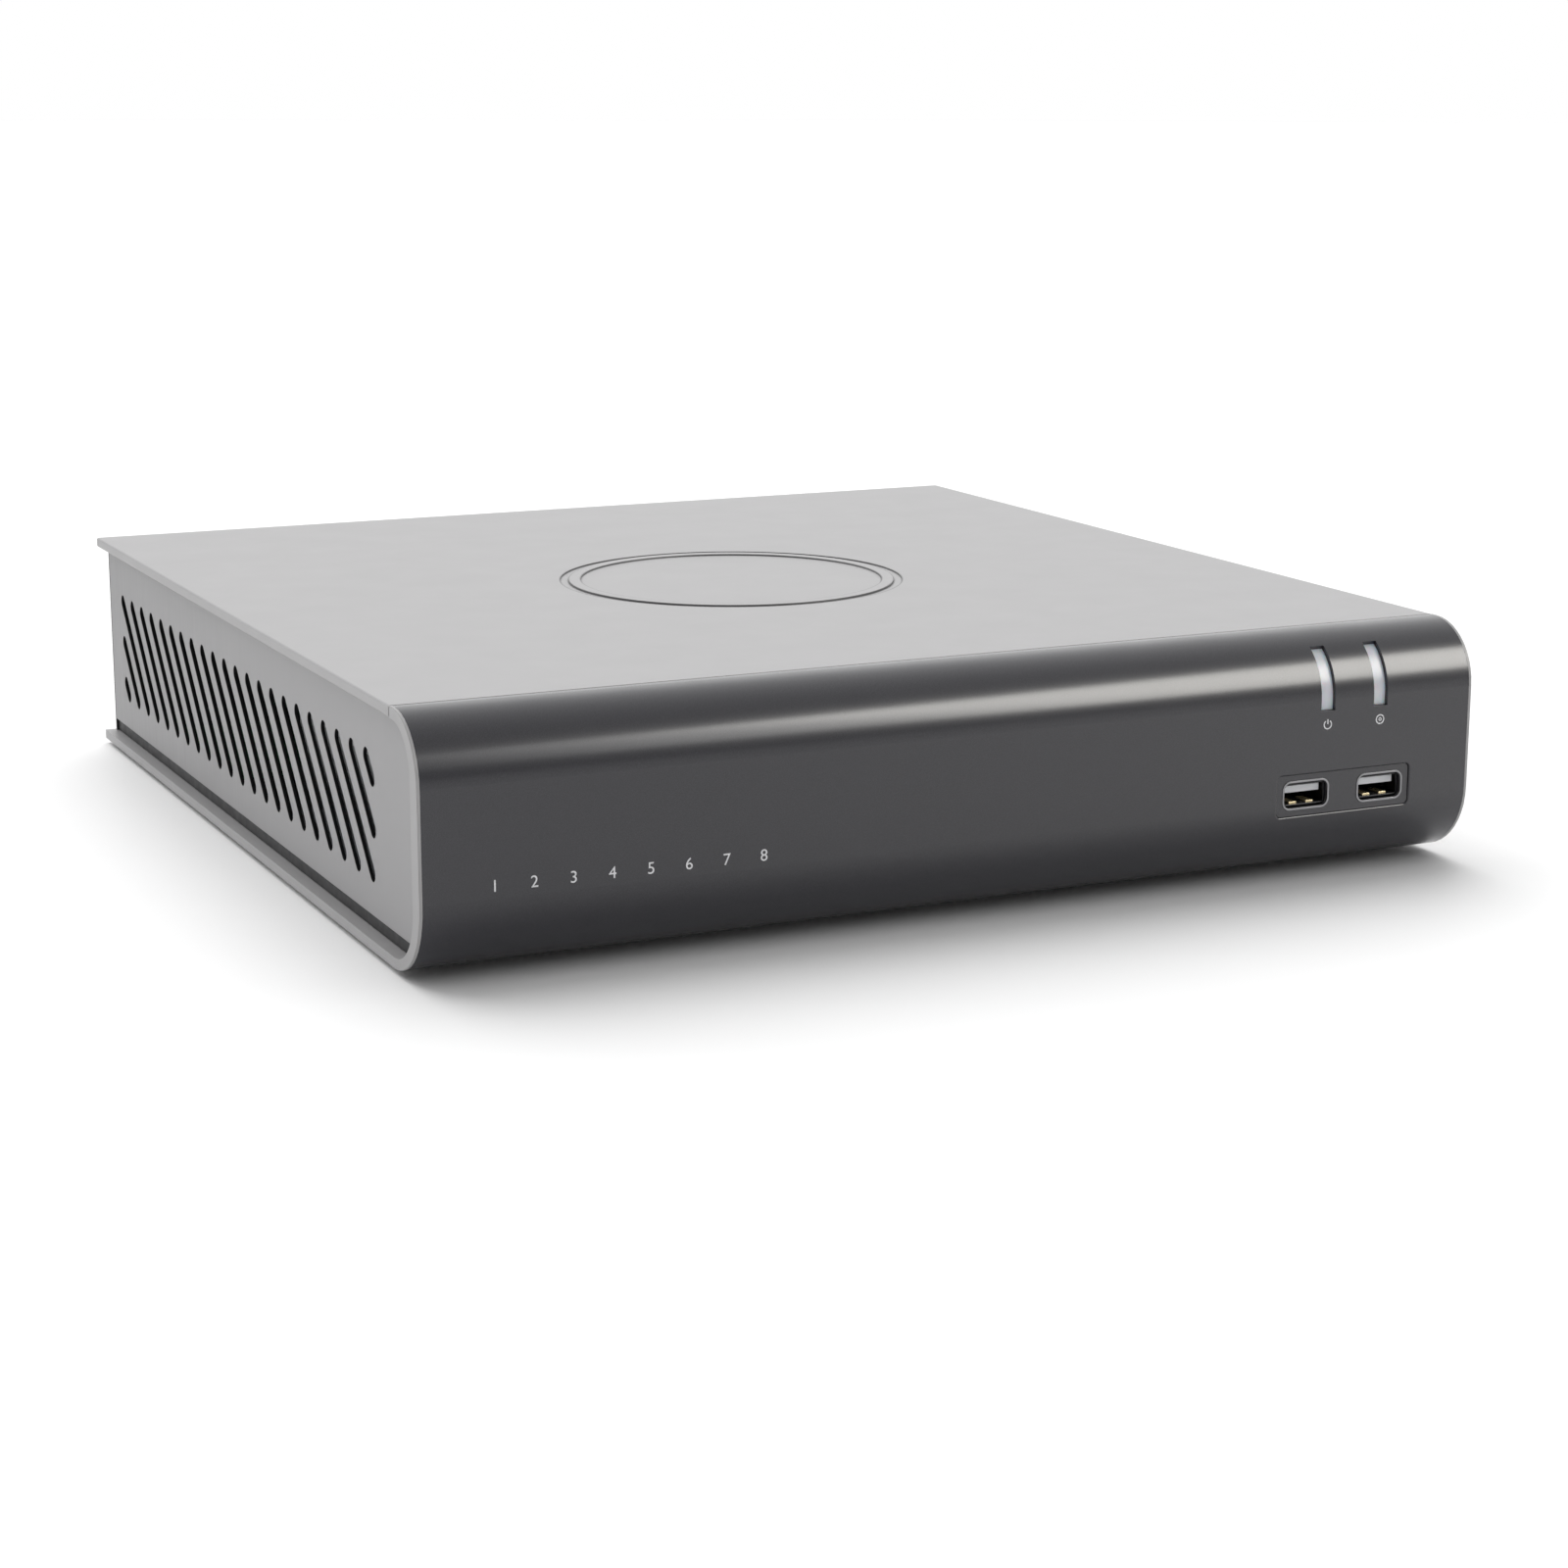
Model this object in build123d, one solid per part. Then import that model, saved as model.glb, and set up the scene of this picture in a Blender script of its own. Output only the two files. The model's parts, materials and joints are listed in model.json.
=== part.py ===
from build123d import *
import math
import os

# Video recorder: a low box with a dark curved front, a light top and slotted sides.
# Working frame: x to the right with 0 in the middle, y back with 0 at the front face,
# z up with 0 at the underside of the casing. place() moves it to the part's own frame.

# ---- driving dimensions, millimetres ----
WIDTH = 300.0
DEPTH = 309.0
HEIGHT = 64.6
TOP_RADIUS = 16.7
BOTTOM_RADIUS = 20.0
SEAM = 18.7
SEAM_GAP = 0.5
BOTTOM_WALL = 2.7
TOP_LIP = 2.9
RIM_FRONT = 4.8
RIM_REACH = 7.0
FRONT_WALL = 3.2
SKIN = 1.2
SKIN_EDGE = 0.8
SIDE_INSET = 3.2
REAR_INSET = 1.0
EDGE_ROUND = 0.6

# Clearances: FIT between fixed pieces, RUN round shafts and in threads, ROOM round sockets
FIT = 0.1
RUN = 0.05
ROOM = 0.3
# How far a cutter passes beyond its target, and how far a post is rooted in its base
OVERCUT = 1.0
ROOT = 0.5

# Feet
FOOT_HEIGHT = 1.5
FOOT_RADIUS = 8.0
FOOT_INSET = 26.0
FOOT_BEHIND_FRONT = 32.0
FOOT_SCREW_HEAD = 1.0
COLLAR_RADIUS = 3.2
COLLAR_HEIGHT = 1.5

# Sheet metal
SHEET = 1.0
TRAY_SHEET = 1.0
TRAY_FRONT_GAP = 2.0
FLANGE = 9.5
FLANGE_REAR_GAP = 12.0
LEG_FRONT_GAP = 4.0
LEG_RISE = 5.0
REAR_FLANGE_INSET = 14.0
SIDE_SCREW_INSET = 62.0
REAR_SCREW_INSET = 30.0
REAR_SCREW_MIDDLE = 39.0
GROOVE_TOP = 6.5
GROOVE_DEPTH = 0.6

# Top cover
COVER_SHEET = 1.6
COVER_FLANGE = 7.0
COVER_FLANGE_INSET = 6.0
COVER_SCREW_DROP = 4.0
COVER_SCREW_INSET = 20.0
COVER_SCREW_LENGTH = 6.0
TONGUE_INSET = 40.0
TONGUE_SHEET = 1.2
TONGUE_GAP = 0.5
TONGUE_REACH = 3.0
TONGUE_BACK = 5.0

# Pressed ring on the top: a trench, a low bead and a dish inside it
RING_OUTER = 50.0
RING_MIDDLE = 47.6
RING_INNER = 44.0
RING_TRENCH = 0.4
RING_HEIGHT = 0.15
RING_DISH = 0.3
RING_ROUND = 0.12

# Side vents: slanted slots clipped to a window
VENT_FRONT = 41.2
VENT_REAR_MARGIN = 15.5
VENT_LOW = 15.1
VENT_HIGH = 48.7
VENT_WIDTH = 4.2
VENT_SHORTEST = 3.0
VENT_PITCH = 11.6
VENT_FIRST = 47.7
VENT_LEAN = 0.891

# Front windows, measured from the right end; the lamps behind shine into them
WINDOW_X = (46.35, 29.6)
WINDOW_WIDTH = 4.4
WINDOW_LOW = 44.9
WINDOW_TURN = 53.0
WINDOW_END_GAP = 0.4
WINDOW_SUNK = 1.1
WINDOW_OVERLAP = 0.3
WINDOW_FLANGE = 1.8
WINDOW_FLANGE_TURN = 6.0
WINDOW_FLANGE_THICK = 1.15
LAMP_RADIUS = 2.0
LAMP_LENGTH = 5.0
LAMP_Z = 50.0
LAMP_GAP = 0.5

# Front sockets, measured from the right end
SOCKET_X = (52.2, 28.6)
SOCKET_Z = 22.65
BEZEL_WIDTH = 42.2
BEZEL_HEIGHT = 11.3
BEZEL_SUNK = 0.5
BEZEL_ROUND = 1.5
BEZEL_EDGE_ROUND = 0.45
BEZEL_FLANGE_THICK = 1.2
BEZEL_FLANGE = 2.0
USB_HOLE = (13.7, 6.9)
USB_HOLE_ROUND = 1.9
USB_RING = 0.5
USB_RING_PROUD = 0.15
USB_RING_DEEP = 0.9
USB_SHELL = (13.2, 5.9)
USB_SHELL_ROUND = 0.3
USB_LENGTH = 14.4
USB_WALL = 0.35
USB_MOUTH = 1.6
USB_TONGUE = (11.3, 1.85)
USB_TONGUE_RISE = 1.275
USB_TONGUE_BACK = 1.2
USB_SPRING = (2.3, 0.4, 5.0)
USB_SPRING_X = 2.65
USB_SPRING_BACK = 1.0
SHELL_BACK = 1.0

# Front board behind the fascia
FRONT_BOARD_Y = 16.0
FRONT_BOARD_X = (66.0, 7.0)
FRONT_BOARD_Z = (14.0, 58.0)
BOSS_RADIUS = 3.0
BOSS_X = (62.0, 11.0)
BOSS_Z = (36.0, 54.0)
BOSS_SCREW = 4.0
BOSS_HOLE = 6.0

# Main board
BOARD = 1.6
BOARD_LIFT = 6.0
BOARD_INSET_LEFT = 9.0
BOARD_INSET_RIGHT = 26.0
BOARD_LENGTH = 116.0
BOARD_REAR_GAP = 0.8
STANDOFF_RADIUS = 2.6
STANDOFF_INSET = (11.0, 7.0)
STANDOFF_FRONT = 7.0
STANDOFF_REAR = 26.0
BOARD_SCREW = 5.0

# Parts on the main board: x is from the middle, widths and lengths are along x and y
PROCESSOR_X = 20.0
PROCESSOR = (30.0, 30.0, 2.4)
PROCESSOR_AHEAD = 8.0
SINK = (40.0, 40.0, 3.0)
SINK_FINS = 9
SINK_FIN = 1.2
SINK_FIN_HEIGHT = 14.0
MEMORY = (9.0, 13.5, 1.2)
MEMORY_X = (36.0, 53.0)
MEMORY_Y = 13.0
DECODER = (14.0, 14.0, 1.4)
DECODERS = 3
DECODER_PITCH = 20.0
DECODER_REAR = 38.0
CAN_RADIUS = 4.0
CAN_HEIGHT = 12.0
CAN_ROUND = 0.6
CANS = 3
CAN_X = 76.0
CAN_PITCH = 12.0
CAN_REAR = 28.0
CELL_X = -30.0
CELL_FRONT = 26.0
CELL_RADIUS = 10.0
CELL_THICK = 3.2
HOLDER_RADIUS = 12.0
HOLDER_HEIGHT = 5.0
HOLDER_FLOOR = 1.5

# Screws: shank, pan head and cross recess
SCREW = 1.45
SCREW_HEAD = 2.8
SCREW_HEAD_HEIGHT = 1.4
CROSS = (3.4, 0.7)
CROSS_DEPTH = 0.7

# Coaxial video jacks: a block of columns and one more jack
BNC_PITCH = 16.0
BNC_COLUMNS = 4
BNC_ROW_LOW = 8.2
BNC_ROOT = 6.2
BNC_ROOT_PROUD = 0.8
BNC_BLOCK_EDGE = 1.4
BNC_BLOCK_DEPTH = 18.0
BNC_OUTER = 4.85
BNC_BORE = 4.05
BNC_REACH = 11.0
BNC_LUG = 1.0
BNC_LUG_TIP = 5.9
BNC_LUG_BACK = 5.0
BNC_INSULATOR = (2.6, 1.2, 3.5)
BNC_CONTACT = (1.15, 0.7, 4.0)
JACK_FLOOR = 1.0

# Phono audio jacks, two by two
RCA_PITCH = 14.0
RCA_ROW_LOW = 7.5
RCA_OUTER = 4.15
RCA_BORE = 3.45
RCA_PIN_HOLE = 1.65
RCA_ROOT = 5.0
RCA_ROOT_PROUD = 0.5
RCA_BLOCK_EDGE = 1.5
RCA_BLOCK_DEPTH = 12.0
RCA_REACH = 9.5
RCA_MOUTH = 1.6

# Display socket
VGA_SIZE = (16.9, 8.3)
VGA_ROUND = 2.2
VGA_WALL = 0.5
VGA_INSERT_GAP = 0.1
VGA_INSERT_SUNK = 0.6
VGA_BLOCK = (30.8, 12.5, 16.0)
VGA_REACH = 6.0
VGA_NUT_X = 12.5
VGA_NUT_RADIUS = 2.75
VGA_NUT_LENGTH = 5.0
VGA_NUT_STUD = 5.0
VGA_NUT_BORE = 1.2
VGA_PINS = 5
VGA_PIN_PITCH = 2.3
VGA_PIN_ROW = 2.0
VGA_PIN_SHIFT = 0.55
VGA_PIN_HOLE = 0.5
VGA_PIN_DEPTH = 5.0

# Flat display socket, network jack, terminals and power jack
SOCKET_PROUD = 0.8
HDMI_SHELL = (15.0, 6.0)
HDMI_LENGTH = 12.0
HDMI_TONGUE = (10.6, 1.5)
HDMI_TONGUE_RISE = 0.4
LAN_SHELL = (16.0, 13.6)
LAN_LENGTH = 17.0
LAN_OPEN = (11.9, 8.2)
LAN_OPEN_LOW = 2.2
LAN_OPEN_DEPTH = 12.0
LAN_LATCH = (6.0, 5.0, 1.2)
LAN_PINS = 8
LAN_PIN = (0.44, 0.8)
LAN_PIN_PITCH = 1.02
LAN_PIN_BACK = 3.0
TERMINAL_WAYS = 6
TERMINAL_PITCH = 3.81
TERMINAL_HEIGHT = 9.5
TERMINAL_LENGTH = 10.0
TERMINAL_PROUD = 2.0
TERMINAL_HOLE = 2.7
TERMINAL_HOLE_LOW = 1.4
TERMINAL_HOLE_DEPTH = 7.0
TERMINAL_SCREW = (1.3, 2.4)
TERMINAL_SCREW_LOW = 5.6
TERMINAL_SCREW_BACK = 4.5
TERMINAL_SLOT = (0.5, 0.6)
POWER_JACK = (10.0, 11.0, 13.0)
POWER_BORE = 3.15
POWER_PIN = 1.0
POWER_PIN_BACK = 1.0
POWER_DEPTH = 9.0

# The row of rear jacks runs from inset to inset with equal gaps
JACK_ROW_INSET_LEFT = 10.4
JACK_ROW_INSET_RIGHT = 31.5

# Power rocker; its outline is (y, z) from the pivot
ROCKER_INSET = 17.0
ROCKER_Z = 34.0
ROCKER_FRAME = (12.4, 18.8)
ROCKER_FLANGE = (14.6, 21.0, 1.5)
ROCKER_FLANGE_ROUND = 1.0
ROCKER_OPEN = (10.6, 17.0)
ROCKER_DEEP = 14.0
ROCKER_FLOOR = 2.0
ROCKER_PIVOT_BACK = 1.6
ROCKER_PIN = 1.0
ROCKER_TILT = 7.0
ROCKER_GAP = 0.2
ROCKER_OUTLINE = ((3.4, 0), (4.2, 7.3), (1.2, 7.5), (-4.0, 1.6), (-4.0, -1.6), (1.2, -7.5), (4.2, -7.3))
ROCKER_TAB = (4.8, 6.0, 0.8)
ROCKER_TAB_Z = 4.0

# Fan
FAN_SIZE = 30.0
FAN_DEPTH = 10.0
FAN_ROOM = 0.4
FAN_BORE = 14.0
FAN_TIP_GAP = 0.7
FAN_HUB = 7.5
FAN_HUB_WALL = 1.2
FAN_HUB_HOLLOW = 0.6
FAN_HOLE_PITCH = 24.0
FAN_BLADES = 7
FAN_BLADE = (0.8, 7.6, 38.0)
FAN_SHAFT = 1.0
FAN_SHAFT_LENGTH = 2.1
FAN_MOUNT = 1.8
FAN_ARM = (2.4, 1.4)
FAN_ARM_TURNS = (30, 150, 270)
FAN_ROTOR_GAP = 0.4
FAN_ROTOR_REAR_GAP = 0.5
FAN_SCREW = 9.0
GRILLE_RINGS = ((10.6, 9.2), (5.6, 0.0))
GRILLE_BAR = 1.4
GRILLE_INSET = 0.5

# Vents in the rear panel
REAR_VENT = (3.0, 11.0)
REAR_VENT_ROUND = 1.45
REAR_VENT_PITCH = 8.0
REAR_VENT_Z = 48.5
REAR_VENT_FAN_GAP = 5.0

# Hard disk: spindle and pivot are (x, y) from the middle of its front end
DISK_X = -74.0
DISK_FRONT = 30.0
DISK_SIZE = (101.6, 147.0, 26.1)
DISK_LIFT = 4.0
DISK_BOARD = 1.6
DISK_BOARD_INSET = (4.0, 30.0, 1.0)
DISK_WALL = 3.4
DISK_FLOOR = 4.0
DISK_COVER = 1.0
DISK_COVER_EDGE = 0.3
DISK_COVER_INSET = 10.0
DISK_COVER_RISE = 2.2
DISK_LID = 3.0
DISK_SCREW_INSET = 3.0
DISK_SCREW_BOSS = 2.8
DISK_SCREW_LENGTH = 4.0
DISK_SCREW_HOLE = 6.0
SPINDLE = (0.0, 52.0)
SPINDLE_POST = 4.0
SPINDLE_HUB = 12.5
HUB_FLOOR_GAP = 0.4
HUB_LID_GAP = 1.6
POST_LID_GAP = 1.3
PLATTER_RADIUS = 46.0
PLATTER = 1.3
PLATTER_LOW = 2.9
PLATTER_PITCH = 5.5
PIVOT = (18.0, 110.0)
PIVOT_POST = 3.0
PIVOT_HUB = 7.0
ARM_LENGTH = 50.0
ARM_ROOT = 2.0
ARM_TIP = 12.0
ARM_HALF = (4.5, 2.0, 1.2)
ARM_THICK = 1.3
ARM_LEVELS = (0.8, 5.5, 11.0)
ARM_PARK = 55.0
COIL = (5.0, 24.0, 28.0, 2.0)
COIL_RISE = 5.2
YOKE = (11.0, 28.0, 25.6)
YOKE_SWEEP = 84.0
YOKE_START = 26.0
YOKE_LOW = 2.6
YOKE_HIGH = 2.4
YOKE_GAP = 5.2

# Disk brackets
BRACKET_HEIGHT = 20.0
BRACKET_INSET = 12.0
BRACKET_FLANGE = 10.0
BRACKET_SCREW_OUT = 6.0
BRACKET_SCREW_INSET = 20.0
DISK_SIDE_SCREW_Z = 6.35
DISK_SIDE_SCREW_INSET = 28.0
DISK_SIDE_SCREW_DEPTH = 2.6

# Wiring: plugs and headers are (half width, depth, height), leads are (bend, thickness)
DISK_LEADS = ((-30.0, 8.0, 1.9), (4.0, 10.0, 2.3))
DISK_LEAD_BEND = 8.0
DISK_LEAD_HIGH = 26.0
DISK_PLUG_LOW = 2.0
PLUG_BLOCK = 8.0
HEADER = (6.0, 7.0)
PLUG_HEIGHT = 5.0
DISK_HEADER_FRONT = 20.0
FRONT_LEAD_INSET = 38.0
FRONT_LEAD_HALF = 9.0
FRONT_LEAD_Z = 42.0
FRONT_LEAD_PLUG = (4.0, 3.0)
FRONT_LEAD_THICK = 2.0
FRONT_HEADER_FRONT = 24.0
FRONT_LEAD_BENDS = (18, 24, 30, 24, 14, 7)
FAN_HEADER_REAR = 46.0
FAN_HEADER_HALF = 4.0
FAN_LEAD_RUN = 33.0
FAN_LEAD_BELOW = 2.6
FAN_LEAD_BEND = 6.0
FAN_LEAD_THICK = 1.1


def spread(widths, start, end):
    """The middles of pieces of these widths, set from start to end with equal gaps."""
    gap = (end - start - sum(widths)) / (len(widths) - 1)
    middles = []
    for width in widths:
        middles.append(start + width / 2)
        start += width + gap
    return middles


# ---- values worked out from those ----
RIGHT = WIDTH / 2
SIDE_X = RIGHT - SIDE_INSET
PANEL_IN = SIDE_X - SHEET
REAR_OUT = DEPTH - REAR_INSET
REAR_IN = REAR_OUT - SHEET
TRAY_TOP = BOTTOM_WALL + TRAY_SHEET
BOARD_LOW = TRAY_TOP + BOARD_LIFT
BOARD_TOP = BOARD_LOW + BOARD
COVER_UNDER = HEIGHT - COVER_SHEET
LIP_UNDER = HEIGHT - TOP_LIP
BNC_END = REAR_OUT + BNC_REACH
OVERALL_DEPTH = BNC_END
BOARD_LEFT = -RIGHT + BOARD_INSET_LEFT
BOARD_RIGHT = RIGHT - BOARD_INSET_RIGHT
BOARD_REAR = REAR_IN - BOARD_REAR_GAP
BOARD_FRONT = BOARD_REAR - BOARD_LENGTH
BNC_HALF = BNC_ROOT + BNC_BLOCK_EDGE
RCA_HALF = RCA_ROOT + RCA_BLOCK_EDGE
BNC_MIDDLE, BNC_OUT_X, RCA_MIDDLE, VGA_X, HDMI_X, REAR_USB_X, LAN_X, TERMINAL_X, POWER_X = spread(
    (
        (BNC_COLUMNS - 1) * BNC_PITCH + 2 * BNC_HALF,
        2 * BNC_HALF,
        RCA_PITCH + 2 * RCA_HALF,
        VGA_BLOCK[0],
        HDMI_SHELL[0],
        USB_SHELL[0],
        LAN_SHELL[0],
        TERMINAL_WAYS * TERMINAL_PITCH,
        POWER_JACK[0],
    ),
    -RIGHT + JACK_ROW_INSET_LEFT,
    RIGHT - JACK_ROW_INSET_RIGHT,
)
ROCKER_X = RIGHT - ROCKER_INSET
ROCKER_PIVOT_Y = REAR_OUT - ROCKER_PIVOT_BACK
FAN_X = (HDMI_X + REAR_USB_X) / 2
FAN_Z = COVER_UNDER - COVER_FLANGE - FAN_ROOM - FAN_SIZE / 2
FAN_FRONT = REAR_IN - FAN_DEPTH
SOCKET_END = REAR_OUT + SOCKET_PROUD
BEZEL_X = RIGHT - sum(SOCKET_X) / 2
BEZEL_BACK = FRONT_WALL + BEZEL_FLANGE_THICK
DISK_LEFT = DISK_X - DISK_SIZE[0] / 2
DISK_RIGHT = DISK_X + DISK_SIZE[0] / 2
DISK_REAR = DISK_FRONT + DISK_SIZE[1]
DISK_LOW = TRAY_TOP + DISK_LIFT
DISK_BOARD_TOP = DISK_LOW + DISK_BOARD
DISK_INSIDE = DISK_BOARD_TOP + DISK_FLOOR
DISK_RIM = DISK_LOW + DISK_SIZE[2] - DISK_LID
HUB_LOW = DISK_INSIDE + HUB_FLOOR_GAP
HUB_HIGH = DISK_RIM - HUB_LID_GAP
SPINDLE_X, SPINDLE_Y = DISK_X + SPINDLE[0], DISK_FRONT + SPINDLE[1]
PIVOT_X, PIVOT_Y = DISK_X + PIVOT[0], DISK_FRONT + PIVOT[1]
BRACKET_FRONT = DISK_FRONT + BRACKET_INSET
BRACKET_REAR = DISK_REAR - BRACKET_INSET

LOW = (Align.CENTER, Align.CENTER, Align.MIN)
TURN = {"X": Rot(0, 90, 0), "Y": Rot(-90, 0, 0), "Z": Rot(0, 0, 0)}


# ---- small helpers ----
def place(shape):
    return Pos(0, -OVERALL_DEPTH / 2, FOOT_HEIGHT) * shape


def save(name, *shapes):
    solids = []
    for shape in shapes:
        solids += list(shape.solids())
    node = solids[0] if len(solids) == 1 else Compound(solids)
    export_step(place(node), os.path.join("parts", name + ".step"))


def block(x0, x1, y0, y1, z0, z1):
    size = Box(x1 - x0, y1 - y0, z1 - z0)
    return Pos((x0 + x1) / 2, (y0 + y1) / 2, (z0 + z1) / 2) * size


def bar(x, width, y0, y1, z0, z1):
    """A block centred on x."""
    return block(x - width / 2, x + width / 2, y0, y1, z0, z1)


def rod(axis, start, length, radius):
    return Pos(*start) * TURN[axis] * Cylinder(radius, length, align=LOW)


def tube(axis, start, length, outer, inner):
    return rod(axis, start, length, outer) - rod(axis, start, length, inner)


def rounded_block(x0, x1, y0, y1, z0, z1, top, bottom):
    """A box whose two long front edges are rounded, the upper one by top."""
    body = block(x0, x1, y0, y1, z0, z1)
    upper = body.edges().filter_by(Axis.X).group_by(Axis.Y)[0].sort_by(Axis.Z)[-1]
    body = fillet(upper, top)
    lower = body.edges().filter_by(Axis.X).group_by(Axis.Y)[0].sort_by(Axis.Z)[0]
    return fillet(lower, bottom)


def casing(inset, half=RIGHT + OVERCUT, back=OVERCUT):
    """The casing's outer form, moved inward by inset, and open past the back."""
    return rounded_block(
        -half, half, inset, DEPTH + back, inset, HEIGHT - inset,
        TOP_RADIUS - inset, BOTTOM_RADIUS - inset,
    )


def soft_plate(x, z, width, height, y0, y1, corner):
    """A flat plate facing the front, with rounded corners."""
    outline = Plane.XZ * RectangleRounded(width, height, corner)
    return Pos(x, y1, z) * extrude(outline, y1 - y0)


def prism(points, x0, x1):
    """A prism along x from an outline of (y, z) points."""
    outline = Plane.YZ * make_face(Polyline(*points, close=True))
    return Pos(x0, 0, 0) * extrude(outline, x1 - x0)


def flat_shape(points, z, thick):
    """A flat plate from an outline of (x, y) points."""
    return Pos(0, 0, z) * extrude(make_face(Polyline(*points, close=True)), thick)


def screw(axis, start, shank, head_side, head=SCREW_HEAD_HEIGHT):
    """A cross-head screw whose shank runs from start along the axis. Its head lies
    before the shank when head_side is -1 and past it when head_side is 1."""
    under = -head if head_side < 0 else shank
    recess = -head if head_side < 0 else shank + head - CROSS_DEPTH
    body = Cylinder(SCREW, shank, align=LOW)
    body += Pos(0, 0, under) * Cylinder(SCREW_HEAD, head, align=LOW)
    for length, width in (CROSS, reversed(CROSS)):
        body -= Pos(0, 0, recess) * Box(length, width, CROSS_DEPTH, align=LOW)
    return Pos(*start) * TURN[axis] * body


def hole(axis, start, length, room=RUN):
    """The cutter for a screw's shank."""
    return rod(axis, start, length, SCREW + room)


# ---- places that several pieces share ----
def boss_places():
    return [(RIGHT - x, z) for x in BOSS_X for z in BOSS_Z]


def foot_places():
    xs = (-RIGHT + FOOT_INSET, RIGHT - FOOT_INSET)
    ys = (FOOT_BEHIND_FRONT, DEPTH - FOOT_INSET)
    return [(x, y) for x in xs for y in ys]


def side_screw_places(side):
    x = side * (PANEL_IN - FLANGE / 2)
    return [(x, y) for y in (SIDE_SCREW_INSET, DEPTH / 2, DEPTH - SIDE_SCREW_INSET)]


def rear_screw_places():
    outer = RIGHT - REAR_SCREW_INSET
    y = REAR_IN - FLANGE / 2
    return [(x, y) for x in (-outer, -REAR_SCREW_MIDDLE, REAR_SCREW_MIDDLE, outer)]


def bracket_screw_places(side):
    face = DISK_RIGHT if side > 0 else DISK_LEFT
    x = face + side * BRACKET_SCREW_OUT
    return [(x, y) for y in (BRACKET_FRONT + BRACKET_SCREW_INSET, BRACKET_REAR - BRACKET_SCREW_INSET)]


def disk_side_screw_places():
    z = DISK_LOW + DISK_SIDE_SCREW_Z
    ys = (DISK_FRONT + DISK_SIDE_SCREW_INSET, DISK_REAR - DISK_SIDE_SCREW_INSET)
    return [(y, z) for y in ys]


def chassis_screw_places():
    places = rear_screw_places()
    for side in (-1, 1):
        places += side_screw_places(side) + bracket_screw_places(side)
    return places


def cover_screw_x():
    return (-RIGHT + COVER_SCREW_INSET, 0, RIGHT - COVER_SCREW_INSET)


def bnc_places():
    first = BNC_MIDDLE - (BNC_COLUMNS - 1) * BNC_PITCH / 2
    places = []
    for row in (BNC_ROW_LOW, BNC_ROW_LOW + BNC_PITCH):
        for column in range(BNC_COLUMNS):
            places.append((first + column * BNC_PITCH, BOARD_TOP + row))
    places.append((BNC_OUT_X, BOARD_TOP + BNC_ROW_LOW))
    return places


def rca_places():
    xs = (RCA_MIDDLE - RCA_PITCH / 2, RCA_MIDDLE + RCA_PITCH / 2)
    return [(x, BOARD_TOP + RCA_ROW_LOW + i * RCA_PITCH) for i in (0, 1) for x in xs]


def fan_hole_places():
    half = FAN_HOLE_PITCH / 2
    return [(FAN_X + i * half, FAN_Z + k * half) for i in (-1, 1) for k in (-1, 1)]


def standoff_places():
    left, right = BOARD_LEFT + STANDOFF_INSET[0], BOARD_RIGHT - STANDOFF_INSET[1]
    ys = (BOARD_FRONT + STANDOFF_FRONT, BOARD_REAR - STANDOFF_REAR)
    return [(x, y) for x in (left, (BOARD_LEFT + BOARD_RIGHT) / 2, right) for y in ys]


# ---- casing ----
def front_skin_zone():
    half = RIGHT - SKIN_EDGE
    reach = block(-half, half, -OVERCUT, SEAM, -OVERCUT, HEIGHT + OVERCUT)
    return (casing(0) - casing(SKIN)) & reach


def window_zone(width, low, turn):
    """The part of the front's upper curve from the height low round to the angle turn."""
    cy, cz = TOP_RADIUS, HEIGHT - TOP_RADIUS
    near, far = TOP_RADIUS / 2, TOP_RADIUS + 2 * FRONT_WALL
    rise, run = math.sin(math.radians(turn)), math.cos(math.radians(turn))
    points = [
        (-FRONT_WALL, low), (cy - near, low), (cy - near * run, cz + near * rise),
        (cy - far * run, cz + far * rise), (-FRONT_WALL, cz + far * rise),
    ]
    return prism(points, -width / 2, width / 2)


def window_cuts():
    return [Pos(RIGHT - x, 0, 0) * window_zone(WINDOW_WIDTH, WINDOW_LOW, WINDOW_TURN) for x in WINDOW_X]


def bezel_cut():
    return soft_plate(
        BEZEL_X, SOCKET_Z, BEZEL_WIDTH, BEZEL_HEIGHT, -OVERCUT, FRONT_WALL + OVERCUT, BEZEL_ROUND)


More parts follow.
